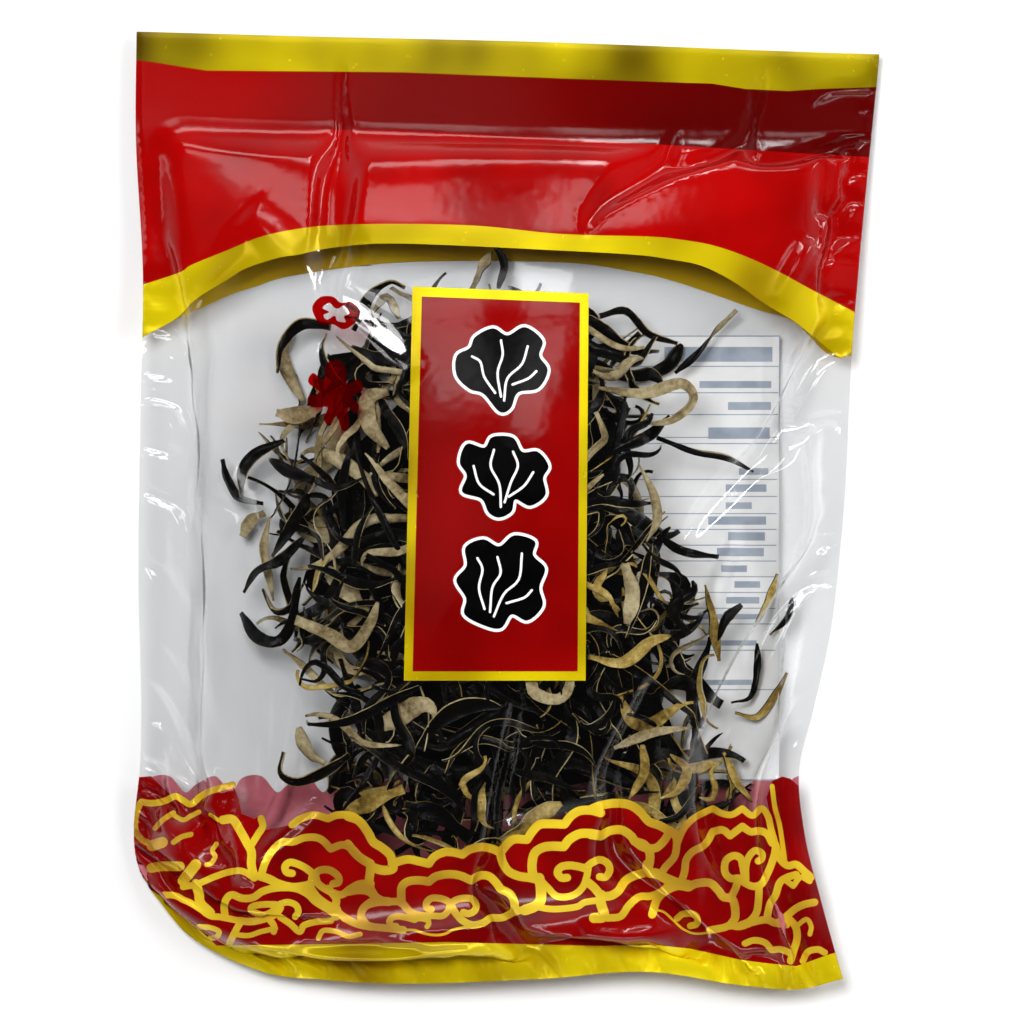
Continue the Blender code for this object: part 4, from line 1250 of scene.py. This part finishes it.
def hero_ribbon(name, number):
    """One strip on the route of its CAD node, with rolled sides and a frayed outline."""
    route, width, roll_start, roll_end = STRIPS[name]
    pick = np.random.default_rng(100 + number)
    line, at = route_line(route)
    share = at / at[-1]
    heights = node_heights(name, line, width)
    centres = np.column_stack([line, heights])
    centres[:, 2] += wander(pick, share, 0.12)
    rolls = np.radians(roll_start + (roll_end - roll_start) * share) + wander(pick, share, 0.25)
    slim = 0.74 if line[:, 0].mean() > 12 else 0.9
    half = slim * width / 2 * blade(pick, share, 0.6)
    facing = np.sign(math.cos(math.radians((roll_start + roll_end) / 2)))
    upturned = facing * pick.choice([-1, 1], p=[0.35, 0.65])
    curl = upturned * pick.uniform(0.15, 0.6) * (0.8 + 0.4 * np.sin(share * 3.1))
    curl = curl + wander(pick, share, 0.15)
    thickness = np.full(len(share), STRIP_THICKNESS)
    return ribbon(centres, rolls, half, curl, thickness, HERO_PLACES, seeded_skins(pick, line[0]))


class Heap:
    """Height maps between the films: how high strips lie, how low what is over them reaches, and
    how many strips cover each place.
    """

    def __init__(self, front, back):
        self.columns = int(MAP_HIGH[0] - MAP_LOW[0]) + 1
        self.rows = int(MAP_HIGH[1] - MAP_LOW[1]) + 1
        x = np.arange(self.columns) + MAP_LOW[0]
        y = np.arange(self.rows) + MAP_LOW[1]
        grid_x, grid_y = np.meshgrid(x, y)
        self.places = np.stack([grid_x, grid_y], -1)
        self.floor = web_heights(back, self.places) + SKIN + FILM_ROOM
        self.roof = web_heights(front, self.places) - SKIN - FILM_ROOM
        self.covers = np.zeros(grid_x.shape)

    def cells(self, points):
        """The maps' row and column at plan places."""
        column = np.clip(np.round(points[..., 0] - MAP_LOW[0]).astype(int), 0, self.columns - 1)
        row = np.clip(np.round(points[..., 1] - MAP_LOW[1]).astype(int), 0, self.rows - 1)
        return row, column

    def barest(self, pick, places):
        """The least covered of a few seeded places."""
        some = places[pick.integers(0, len(places), 6)]
        return some[np.argmin(self.covers[self.cells(some)])] + pick.uniform(-0.5, 0.5, 2)

    def lay(self, pick, strip, side):
        """Heights of a strip laid on the heap from above (side 1) or below (-1); None without room."""
        rise = np.abs(np.sin(strip.rolls)) * strip.half + np.abs(strip.curl) * strip.half * 0.4
        reach = np.abs(np.cos(strip.rolls)) * strip.half + 0.2
        headings = unit(np.gradient(strip.line, axis=0))
        sideways = np.stack([-headings[:, 1], headings[:, 0]], -1) * reach[:, None]
        cells = self.cells(strip.line + sideways * np.array((-1, -0.5, 0, 0.5, 1))[:, None, None])
        floor, roof = self.floor[cells].max(0), self.roof[cells].min(0)
        under, over = (floor + rise, roof - rise) if side > 0 else (rise - roof, -floor - rise)
        lift = np.abs(wander(pick, strip.at / strip.at[-1], 0.5, 2))
        heights = np.minimum(drape(under, strip.at, pick.uniform(0.2, 0.6)) + lift, over)
        if (heights < under - SINK).any():
            return None
        self.covers[cells] += 1
        if side > 0:
            top = heights + rise * 0.5 + 0.2
            np.maximum.at(self.floor, cells, np.broadcast_to(top, cells[0].shape))
        else:
            foot = -heights - rise * 0.5 - 0.2
            np.minimum.at(self.roof, cells, np.broadcast_to(foot, cells[0].shape))
        return heights * side


def web_heights(grid, places):
    """Height of a web over plan places."""
    flat_places = places.reshape(-1, 2)
    u, v = place_of(flat_places[:, 0], flat_places[:, 1])
    half = np.array(FLAT) / 2
    flat = np.stack([u, v], -1) * half
    for _ in range(8):
        flat = np.clip(flat + 0.8 * (flat_places - surface(grid, flat)[:, :2]), -half, half)
    return surface(grid, flat)[:, 2].reshape(places.shape[:2])


def drape(heights, at, slope):
    """Lowest line over heights that never dips faster than a slope, as a stiff strip lies."""
    reach = np.abs(at[:, None] - at[None, :]) * slope
    return (heights[None, :] - reach).max(1)


def small_route(pick, middle):
    """A seeded plan route of a small strip about a middle: a bend or an S, kinks, some hooked ends."""
    length = pick.uniform(*SMALL_LENGTH)
    at = np.arange(0, length, 1.0)
    turn = pick.normal(0, 1.0) * (at / length - 0.5)
    turn = turn + pick.normal(0, 0.5) * np.sin(at / length * TURN + pick.uniform(0, TURN))
    for _ in range(pick.integers(0, 3)):
        kink = pick.normal(0, 0.55)
        turn = turn + kink * smooth_step(-1.0, 1.0, at - pick.uniform(0.15, 0.85) * length)
    if pick.random() < 0.3:
        way = np.sign(pick.normal())
        turn = turn + way * np.clip(at - length + pick.uniform(3, 8), 0, None) * 0.28
    heading = pick.uniform(0, 2 * math.pi) + turn
    line = np.cumsum(np.stack([np.cos(heading), np.sin(heading)], -1), axis=0)
    return line - line.mean(0) + middle, at


def small_strip(pick, middle):
    """A seeded small strip about a middle: a slender blade, bent, twisted and folded lengthways."""
    line, at = small_route(pick, middle)
    share = at / at[-1]
    width = pick.uniform(*(SLIM_WIDTH if pick.random() < SLIM_SHARE else BROAD_WIDTH))
    half = width / 2 * blade(pick, share, 0.5)
    dark = 0.52 + 0.28 * math.exp(-np.sum((middle - DARKEST) ** 2) / DARK_REACH**2)
    shares = [dark, 0.36 * (1 - dark), 0.32 * (1 - dark), 0.32 * (1 - dark)]
    turn = pick.choice([DARK_UP, PALE_UP, ON_EDGE, -ON_EDGE], p=shares)
    rolls = turn + pick.normal(0, 0.3) + pick.normal(0, 1.1) * (share - 0.5) + wander(pick, share, 0.3)
    fold = pick.uniform(0.6, 1.2) if pick.random() < 0.3 else pick.uniform(0.05, 0.4)
    curl = pick.choice([-1, 1]) * fold * (1 + wander(pick, share, 0.2))
    return Strip(line, at, half, rolls, curl)


def joined(shapes):
    """Several shapes as one."""
    points, faces, names, count = [], [], [], 0
    for some_points, some_faces, some_names in shapes:
        points.append(some_points)
        faces += [tuple(i + count for i in face) for face in some_faces]
        names += some_names
        count += len(some_points)
    return np.vstack(points), faces, names


def strip_pieces(front, back, heroes):
    """Every strip as pieces: one for each CAD strip, and the small ones that make up the tangle."""
    made = []
    for name, shape in heroes.items():
        made.append(new_piece(name + "_looks", *shape))
        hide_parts(name)
    for name, piece_shape in tangle_shapes(front, back, heroes).items():
        made.append(new_piece(name, *piece_shape))
        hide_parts("strip_tangle")
    for piece in made:
        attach(piece, "root")


def tangle_shapes(front, back, heroes):
    """The tangle's shapes: small strips over a hidden core, and more under it."""
    outline = np.array(TANGLE_OUTLINE)
    top_heap, low_heap = Heap(front, back), Heap(front, back)
    low, high, core = core_heights(top_heap, outline)
    shapes = {"tangle_core": core_shape(top_heap, low, high, outline)}
    top_heap.floor = np.where(core, np.maximum(top_heap.floor, high), top_heap.floor)
    low_heap.roof = np.where(core, np.minimum(low_heap.roof, low), low_heap.roof)
    lower_roof(top_heap, np.vstack([shape[0] for shape in heroes.values()]))
    pick = np.random.default_rng(5)
    top = fill(pick, top_heap, 1, outline, TOP_STRIPS)
    for k, name in enumerate(("tangle_top_a", "tangle_top_b", "tangle_top_c")):
        shapes[name] = joined(top[k::3])
    shapes["tangle_low"] = joined(fill(pick, low_heap, -1, outline, LOW_STRIPS))
    return shapes


def fill(pick, heap, side, outline, wanted):
    """Lays seeded small strips where the heap is barest until there are enough or no more fit."""
    places = heap.places.reshape(-1, 2)
    places = places[inside(places, outline)]
    ribbons = []
    for _ in range(wanted * TRIES_EACH):
        strip = small_strip(pick, heap.barest(pick, places))
        if inside(strip.line, outline).mean() < SHARE_INSIDE:
            continue
        heights = heap.lay(pick, strip, side)
        if heights is not None:
            centres = np.column_stack([strip.line, heights])
            thickness = np.full(len(centres), pick.uniform(*SMALL_THICKNESS))
            skins = seeded_skins(pick, strip.line[0])
            shape = (centres, strip.rolls, strip.half, strip.curl, thickness)
            ribbons.append(ribbon(*shape, SMALL_PLACES, skins))
        if len(ribbons) == wanted:
            break
    return ribbons


def lower_roof(heap, points):
    """Keeps small strips under the strips that the CAD model lays."""
    for x_offset in (-0.7, 0, 0.7):
        for y_offset in (-0.7, 0, 0.7):
            row, column = heap.cells(points[:, :2] + (x_offset, y_offset))
            roof = heap.roof[row, column]
            above = points[:, 2] > heap.floor[row, column] + 1.0
            low = np.where(above, np.minimum(roof, points[:, 2] - 0.3), roof)
            np.minimum.at(heap.roof, (row, column), low)


def core_heights(heap, outline):
    """Lower and upper height of the tangle's hidden core at each cell, and where it is."""
    places = heap.places.reshape(-1, 2)
    depth = np.where(inside(places, outline), rim_distance(places, outline), 0) - CORE_INSET
    depth = depth.reshape(heap.floor.shape)
    swell = np.clip(depth / 12.0, 0, 1) ** 0.5
    low, high = heap.floor + CORE_LIFT, heap.roof - CORE_SINK
    middle = low + 0.35 * (high - low)
    high = middle + np.maximum(high - middle, 0) * swell
    low = middle + (low - middle) * swell
    return low, high, (depth > 0) & (high > low)


def rim_distance(points, outline):
    """Distance of each point to a closed outline."""
    best = np.full(len(points), 1e9)
    for a, b in zip(outline, np.roll(outline, -1, axis=0)):
        along = b - a
        share = np.clip(((points - a) @ along) / (along @ along), 0, 1)
        best = np.minimum(best, ((points - a - share[:, None] * along) ** 2).sum(1))
    return np.sqrt(best)


def core_shape(heap, low, high, outline):
    """The core between its two heights, as one closed lump of nested rings, near-black and almost
    without gloss: it stands in for buried dark strips and is painted shade in the gaps between the
    strips over it.
    """
    middle = outline.mean(0)
    rim = smooth_run(np.vstack([outline, outline[:1]]), 6)[:-1]
    rings = [middle + (rim - middle) * k for k in CORE_RINGS]
    count = len(rim)
    tops = [np.column_stack([ring, high[heap.cells(ring)]]) for ring in rings]
    feet = [np.column_stack([ring, np.minimum(low, high - 0.2)[heap.cells(ring)]]) for ring in rings]
    layers = feet[::-1] + tops
    faces = [
        (a + k, a + (k + 1) % count, a + count + (k + 1) % count, a + count + k)
        for a in range(0, count * (len(layers) - 1), count)
        for k in range(count)
    ]
    last = count * (len(layers) - 1)
    faces += [tuple(range(count))[::-1], tuple(last + k for k in range(count))]
    return np.vstack(layers), faces, ["strip_core"] * len(faces)


MATERIALS = {}

# What each print shows on the inner face of its web
INSIDE = {
    "clear": "clear",
    "gold": "gold_inside",
    "gold_top": "gold_inside",
    "gold_scroll": "gold_inside",
    "red": "red_inside",
    "red_weld": "red_inside",
    "red_band": "red_inside",
    "red_label": "red_inside",
    "stamp": "stamp",
    "white": "white",
    "black": "black",
    "rule": "rule",
}


# Prints: name, darkest and lightest colour, roughness from and to, and what isn't as usual
GOLD_FOIL = {"metallic": 0.35, "gloss": 0.3, "scale": 26}
PRINTS = (
    ("gold", (0.34, 0.21, 0.001), (0.97, 0.77, 0.004), (0.2, 0.3), GOLD_FOIL),
    # The top strips' gold is the gold foil again, darkened all over as painted shade on the top strips
    # of both webs
    ("gold_top", (0.11, 0.065, 0.001), (0.70, 0.55, 0.003), (0.2, 0.3), GOLD_FOIL),
    ("gold_scroll", (0.44, 0.22, 0.02), (0.98, 0.70, 0.03), (0.2, 0.3),
     {"metallic": 0.3, "gloss": 0.3, "scale": 40}),
    ("gold_inside", (0.46, 0.27, 0.003), (0.64, 0.42, 0.006), (0.3, 0.42),
     {"metallic": 0.2, "scale": 40}),
    ("red", (0.27, 0.0006, 0.0006), (0.40, 0.001, 0.001), (0.07, 0.13),
     {"gloss": 0.4, "scale": 40}),
    ("red_weld", (0.09, 0.0005, 0.0005), (0.31, 0.001, 0.001), (0.1, 0.18),
     {"gloss": 0.4, "scale": 5, "lean": 2.6}),
    ("red_band", (0.15, 0.0005, 0.001), (0.26, 0.001, 0.001), (0.08, 0.16),
     {"gloss": 0.4, "scale": 60}),
    ("red_label", (0.16, 0.0006, 0.0006), (0.25, 0.001, 0.001), (0.06, 0.12),
     {"gloss": 0.3, "scale": 30}),
    ("red_inside", (0.42, 0.10, 0.13), (0.50, 0.14, 0.17), (0.1, 0.2), {}),
    ("black", (0.001, 0.001, 0.001), (0.002, 0.002, 0.002), (0.1, 0.2), {"gloss": 0.12}),
    ("white", (0.82, 0.82, 0.82), (0.88, 0.88, 0.88), (0.1, 0.2), {}),
    ("rule", (0.30, 0.35, 0.42), (0.40, 0.45, 0.52), (0.2, 0.3), {}),
)

# Strip materials: colour stops from dark to light, roughness from and to, gloss and relief
STRIP_LOOKS = {
    "strip_dark": (
        ((0.4, (0.0007, 0.0007, 0.0007)), (0.58, (0.002, 0.0017, 0.0014)), (0.7, (0.012, 0.009, 0.004))),
        (0.12, 0.26), 0.28, 0.00012,
    ),
    "strip_pale": (
        (
            (0.36, (0.07, 0.045, 0.017)),
            (0.45, (0.22, 0.165, 0.08)),
            (0.54, (0.37, 0.30, 0.165)),
            (0.66, (0.55, 0.47, 0.29)),
        ),
        (0.55, 0.8), 0.2, 0.00016,
    ),
    "strip_gold": (
        (
            (0.36, (0.06, 0.032, 0.006)),
            (0.46, (0.20, 0.125, 0.025)),
            (0.55, (0.36, 0.25, 0.06)),
            (0.66, (0.56, 0.43, 0.16)),
        ),
        (0.5, 0.75), 0.2, 0.00016,
    ),
    "strip_edge": (
        ((0.36, (0.10, 0.06, 0.015)), (0.5, (0.34, 0.26, 0.11)), (0.64, (0.60, 0.52, 0.30))),
        (0.4, 0.6), 0.25, 0.0001,
    ),
    # The core: the dark strips' black with their gloss taken out, which is painted shade for the gaps
    # deep in the heap
    "strip_core": (
        ((0.35, (0.0006, 0.0006, 0.0006)), (0.7, (0.002, 0.002, 0.0015))),
        (0.6, 0.8), 0.03, 0.0008,
    ),
}


def start_material(name):
    """An empty Principled material, with its node tree and shader."""
    material = bpy.data.materials.new(name)
    material.use_nodes = True
    MATERIALS[name] = material
    return material.node_tree, material.node_tree.nodes["Principled BSDF"]


def node(tree, kind, **inputs):
    """A node with its inputs set by name."""
    made = tree.nodes.new(kind)
    for name, value in inputs.items():
        made.inputs[name.replace("_", " ")].default_value = value
    return made


def noise(tree, scale, detail=4.0, roughness=0.55):
    """Noise in object space, its scale for each metre; its factor socket."""
    places = tree.nodes.new("ShaderNodeTexCoord")
    texture = node(tree, "ShaderNodeTexNoise", Scale=scale, Detail=detail, Roughness=roughness)
    tree.links.new(places.outputs["Object"], texture.inputs["Vector"])
    return texture.outputs["Fac"]


def ramp(tree, factor, stops):
    """A colour ramp on a factor; its colour socket."""
    made = tree.nodes.new("ShaderNodeValToRGB")
    elements = made.color_ramp.elements
    while len(elements) < len(stops):
        elements.new(0.5)
    for element, (place, colour) in zip(elements, stops):
        element.position = place
        element.color = (*colour, 1)
    tree.links.new(factor, made.inputs["Fac"])
    return made.outputs["Color"]


def spread_value(tree, factor, low, high):
    """A factor mapped to values from low to high."""
    made = node(tree, "ShaderNodeMapRange", To_Min=low, To_Max=high)
    tree.links.new(factor, made.inputs["Value"])
    return made.outputs["Result"]


def bump(tree, height, distance, under=None):
    """A normal bent by heights over a distance, on top of another one."""
    made = node(tree, "ShaderNodeBump", Distance=distance, Strength=1.0)
    tree.links.new(height, made.inputs["Height"])
    if under:
        tree.links.new(under, made.inputs["Normal"])
    return made.outputs["Normal"]


def worked_out(tree, operation, *terms):
    """The result of a sum whose terms are sockets or numbers."""
    made = tree.nodes.new("ShaderNodeMath")
    made.operation = operation
    for term, socket in zip(terms, made.inputs):
        if isinstance(term, float):
            socket.default_value = term
        else:
            tree.links.new(term, socket)
    return made.outputs[0]


def along_axis(tree, source, axis):
    """One axis of a kind of texture coordinates."""
    places = tree.nodes.new("ShaderNodeTexCoord")
    split = tree.nodes.new("ShaderNodeSeparateXYZ")
    tree.links.new(places.outputs[source], split.inputs[0])
    return split.outputs[axis]


def mix_surface(tree, share, first, second):
    """Makes the material a mix of two shaders, the second by a share."""
    mix = tree.nodes.new("ShaderNodeMixShader")
    for socket, source in zip(mix.inputs, (share, first.outputs[0], second.outputs[0])):
        tree.links.new(source, socket)
    tree.links.new(mix.outputs[0], tree.nodes["Material Output"].inputs["Surface"])


def film_print(name, dark, light, roughness, metallic=0.0, gloss=0.5, scale=160, lean=0.0):
    """Ink or foil under clear film: uneven in colour over a scale, with a faintly rippled gloss.

    lean is how much it tends to the dark colour for each metre to the right.
    """
    tree, shader = start_material(name)
    shader.inputs["Metallic"].default_value = metallic
    shader.inputs["Specular IOR Level"].default_value = gloss
    factor = noise(tree, scale, 2)
    if lean:
        factor = worked_out(tree, "MULTIPLY_ADD", along_axis(tree, "Object", "X"), -lean, factor)
    colour = ramp(tree, factor, ((0.36, dark), (0.64, light)))
    tree.links.new(colour, shader.inputs["Base Color"])
    low, high = roughness
    tree.links.new(spread_value(tree, noise(tree, 420, 1), low, high), shader.inputs["Roughness"])
    ripples = bump(tree, noise(tree, 260, 1), 0.00004)
    tree.links.new(ripples, shader.inputs["Normal"])


def clear_film():
    """Clear polypropylene: see-through, with a sharp reflection that grows at grazing angles."""
    tree, shader = start_material("clear")
    tree.nodes.remove(shader)
    see = node(tree, "ShaderNodeBsdfTransparent", Color=(0.979, 0.981, 0.983, 1))
    shine = node(tree, "ShaderNodeBsdfGlossy", Color=(1, 1, 1, 1))
    tree.links.new(spread_value(tree, noise(tree, 300, 0), 0.03, 0.08), shine.inputs["Roughness"])
    ripples = bump(tree, noise(tree, 180, 1), 0.00005)
    tree.links.new(ripples, shine.inputs["Normal"])
    facing = node(tree, "ShaderNodeLayerWeight", Blend=0.5)
    tree.links.new(ripples, facing.inputs["Normal"])
    grazing = worked_out(tree, "POWER", facing.outputs["Facing"], 5.0)
    mix_surface(tree, spread_value(tree, grazing, 0.045, 1.0), see, shine)


def stamp_ink():
    """Thin red ink, which what lies behind it shows through."""
    tree, shader = start_material("stamp")
    shader.inputs["Roughness"].default_value = 0.1
    colour = ramp(tree, noise(tree, 160), ((0.3, (0.25, 0.001, 0.002)), (0.7, (0.40, 0.003, 0.004))))
    tree.links.new(colour, shader.inputs["Base Color"])
    see = node(tree, "ShaderNodeBsdfTransparent", Color=(0.72, 0.02, 0.03, 1))
    mix_surface(tree, spread_value(tree, noise(tree, 90), 0.86, 0.97), shader, see)


def strip_surface(name, colours, roughness, gloss, relief):
    """Dried flesh: blotched and mottled, with folds and fine wrinkles."""
    tree, shader = start_material(name)
    shader.inputs["Specular IOR Level"].default_value = gloss
    fine = spread_value(tree, noise(tree, 900, 4, 0.65), 0.0, 0.4)
    mottle = worked_out(tree, "MULTIPLY_ADD", noise(tree, 110, 3), 0.6, fine)
    tree.links.new(ramp(tree, mottle, colours), shader.inputs["Base Color"])
    low, high = roughness
    tree.links.new(spread_value(tree, noise(tree, 500, 1), low, high), shader.inputs["Roughness"])
    folds = bump(tree, noise(tree, 330, 2), relief * 3)
    wrinkles = bump(tree, noise(tree, 1300, 3, 0.65), relief, folds)
    tree.links.new(wrinkles, shader.inputs["Normal"])


def all_materials():
    """Every material of the packet, kept by name."""
    clear_film()
    stamp_ink()
    for name, dark, light, roughness, rest in PRINTS:
        film_print(name, dark, light, roughness, **rest)
    for name, looks in STRIP_LOOKS.items():
        strip_surface(name, *looks)


# Studio: floor size and level, the view's width at the measured level, and the lights, each with
# its place, size, power, whether it lights surfaces and shows in their gloss, and its target
FLOOR_HALF = 1500
FLOOR_LEVEL = -0.15
VIEW_WIDTH = 233.8
SENSOR = 36
LIT_ONLY, BOTH, GLOSS_ONLY = (True, False), (True, True), (False, True)
MIDDLE = (0, 0, 10)
LIGHTS = (
    ("key", (-260, 330, 1200), (500, 500), 14.5, LIT_ONLY, MIDDLE),
    ("side", (700, 250, 700), (500, 600), 5.0, LIT_ONLY, MIDDLE),
    ("window", (137, 973, 688), (90, 220), 0.85, GLOSS_ONLY, MIDDLE),
    ("bank", (0, 945, 740), (520, 110), 1.1, GLOSS_ONLY, MIDDLE),
    ("haze", (-51, 581, 933), (420, 110), 0.1, GLOSS_ONLY, MIDDLE),
    ("left_pane", (-141, 679, 934), (173, 190), 0.30, GLOSS_ONLY, (-45, 72, 22)),
    ("right_pane", (102, 633, 965), (115, 270), 0.28, GLOSS_ONLY, (23, 72, 22)),
    ("slit", (-798, 184, 574), (30, 300), 0.09, GLOSS_ONLY, MIDDLE),
    ("rim", (900, 500, 240), (60, 500), 1.2, BOTH, MIDDLE),
    ("low", (-100, -900, 420), (700, 90), 1.6, BOTH, MIDDLE),
)


def add_floor():
    """A plain pale floor just under the packet."""
    tree, shader = start_material("floor")
    colour = ramp(tree, noise(tree, 6), ((0.3, (0.9, 0.9, 0.9)), (0.7, (0.92, 0.92, 0.92))))
    tree.links.new(colour, shader.inputs["Base Color"])
    shader.inputs["Roughness"].default_value = 0.6
    edge = bar(-FLOOR_HALF, FLOOR_HALF, -FLOOR_HALF, FLOOR_HALF)
    floor = new_piece("floor", [(x, y, FLOOR_LEVEL) for x, y in edge], [(0, 1, 2, 3)], ["floor"])


def add_light(name, place, size, power, shows, target):
    """A rectangular area light in millimetres, turned to a target."""
    light = bpy.data.lights.new(name, "AREA")
    light.shape = "RECTANGLE"
    light.size, light.size_y = size[0] * MM, size[1] * MM
    light.energy = power
    lamp = bpy.data.objects.new(name, light)
    lamp.location = Vector(place) * MM
    lamp.rotation_euler = (Vector(target) - Vector(place)).to_track_quat("-Z", "Y").to_euler()
    lamp.visible_diffuse, lamp.visible_glossy = shows
    bpy.context.scene.collection.objects.link(lamp)


def add_world():
    """Dim all round, darker overhead, so that what is black stays black."""
    world = bpy.data.worlds.new("studio")
    world.use_nodes = True
    tree = world.node_tree
    stops = ((0.0, (0.7, 0.7, 0.71)), (0.3, (0.42, 0.42, 0.43)), (0.65, (0.02, 0.02, 0.02)))
    sky = ramp(tree, along_axis(tree, "Generated", "Z"), stops)
    tree.links.new(sky, tree.nodes["Background"].inputs["Color"])
    bpy.context.scene.world = world


def add_camera():
    """A camera straight above the packet."""
    lens = bpy.data.cameras.new("camera")
    lens.sensor_width = SENSOR
    lens.lens = SENSOR * (CAMERA_HEIGHT - MEASURED_AT) / VIEW_WIDTH
    camera = bpy.data.objects.new("camera", lens)
    camera.location = (AIM[0] * MM, AIM[1] * MM, CAMERA_HEIGHT * MM)
    bpy.context.scene.collection.objects.link(camera)
    bpy.context.scene.camera = camera


def film_grids(under):
    front = web_shape(front_outside, 1, 3, under=under)
    return front, web_shape(back_outside, -1, 11, partner=front)


def film_pieces(front, back):
    """Both webs' skins, each in place of its CAD solid."""
    front_skin = skin("film_front_skin", front, 1, header_layers() + band_layers() + label_layers())
    back_skin = skin("film_back_skin", back, -1, back_layers())
    for piece, node_name in ((front_skin, "film_front"), (back_skin, "film_back")):
        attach(piece, "root")
        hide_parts(node_name)


def main():
    """Materials, the packet and its strips, and the studio round them."""
    all_materials()
    heroes = {name: hero_ribbon(name, number) for number, name in enumerate(STRIPS)}
    front, back = film_grids(np.vstack([shape[0] for shape in heroes.values()]))
    film_pieces(front, back)
    strip_pieces(front, back, heroes)
    add_floor()
    add_world()
    for light in LIGHTS:
        add_light(*light)
    bpy.context.scene.view_settings.view_transform = "Standard"
    add_camera()


main()
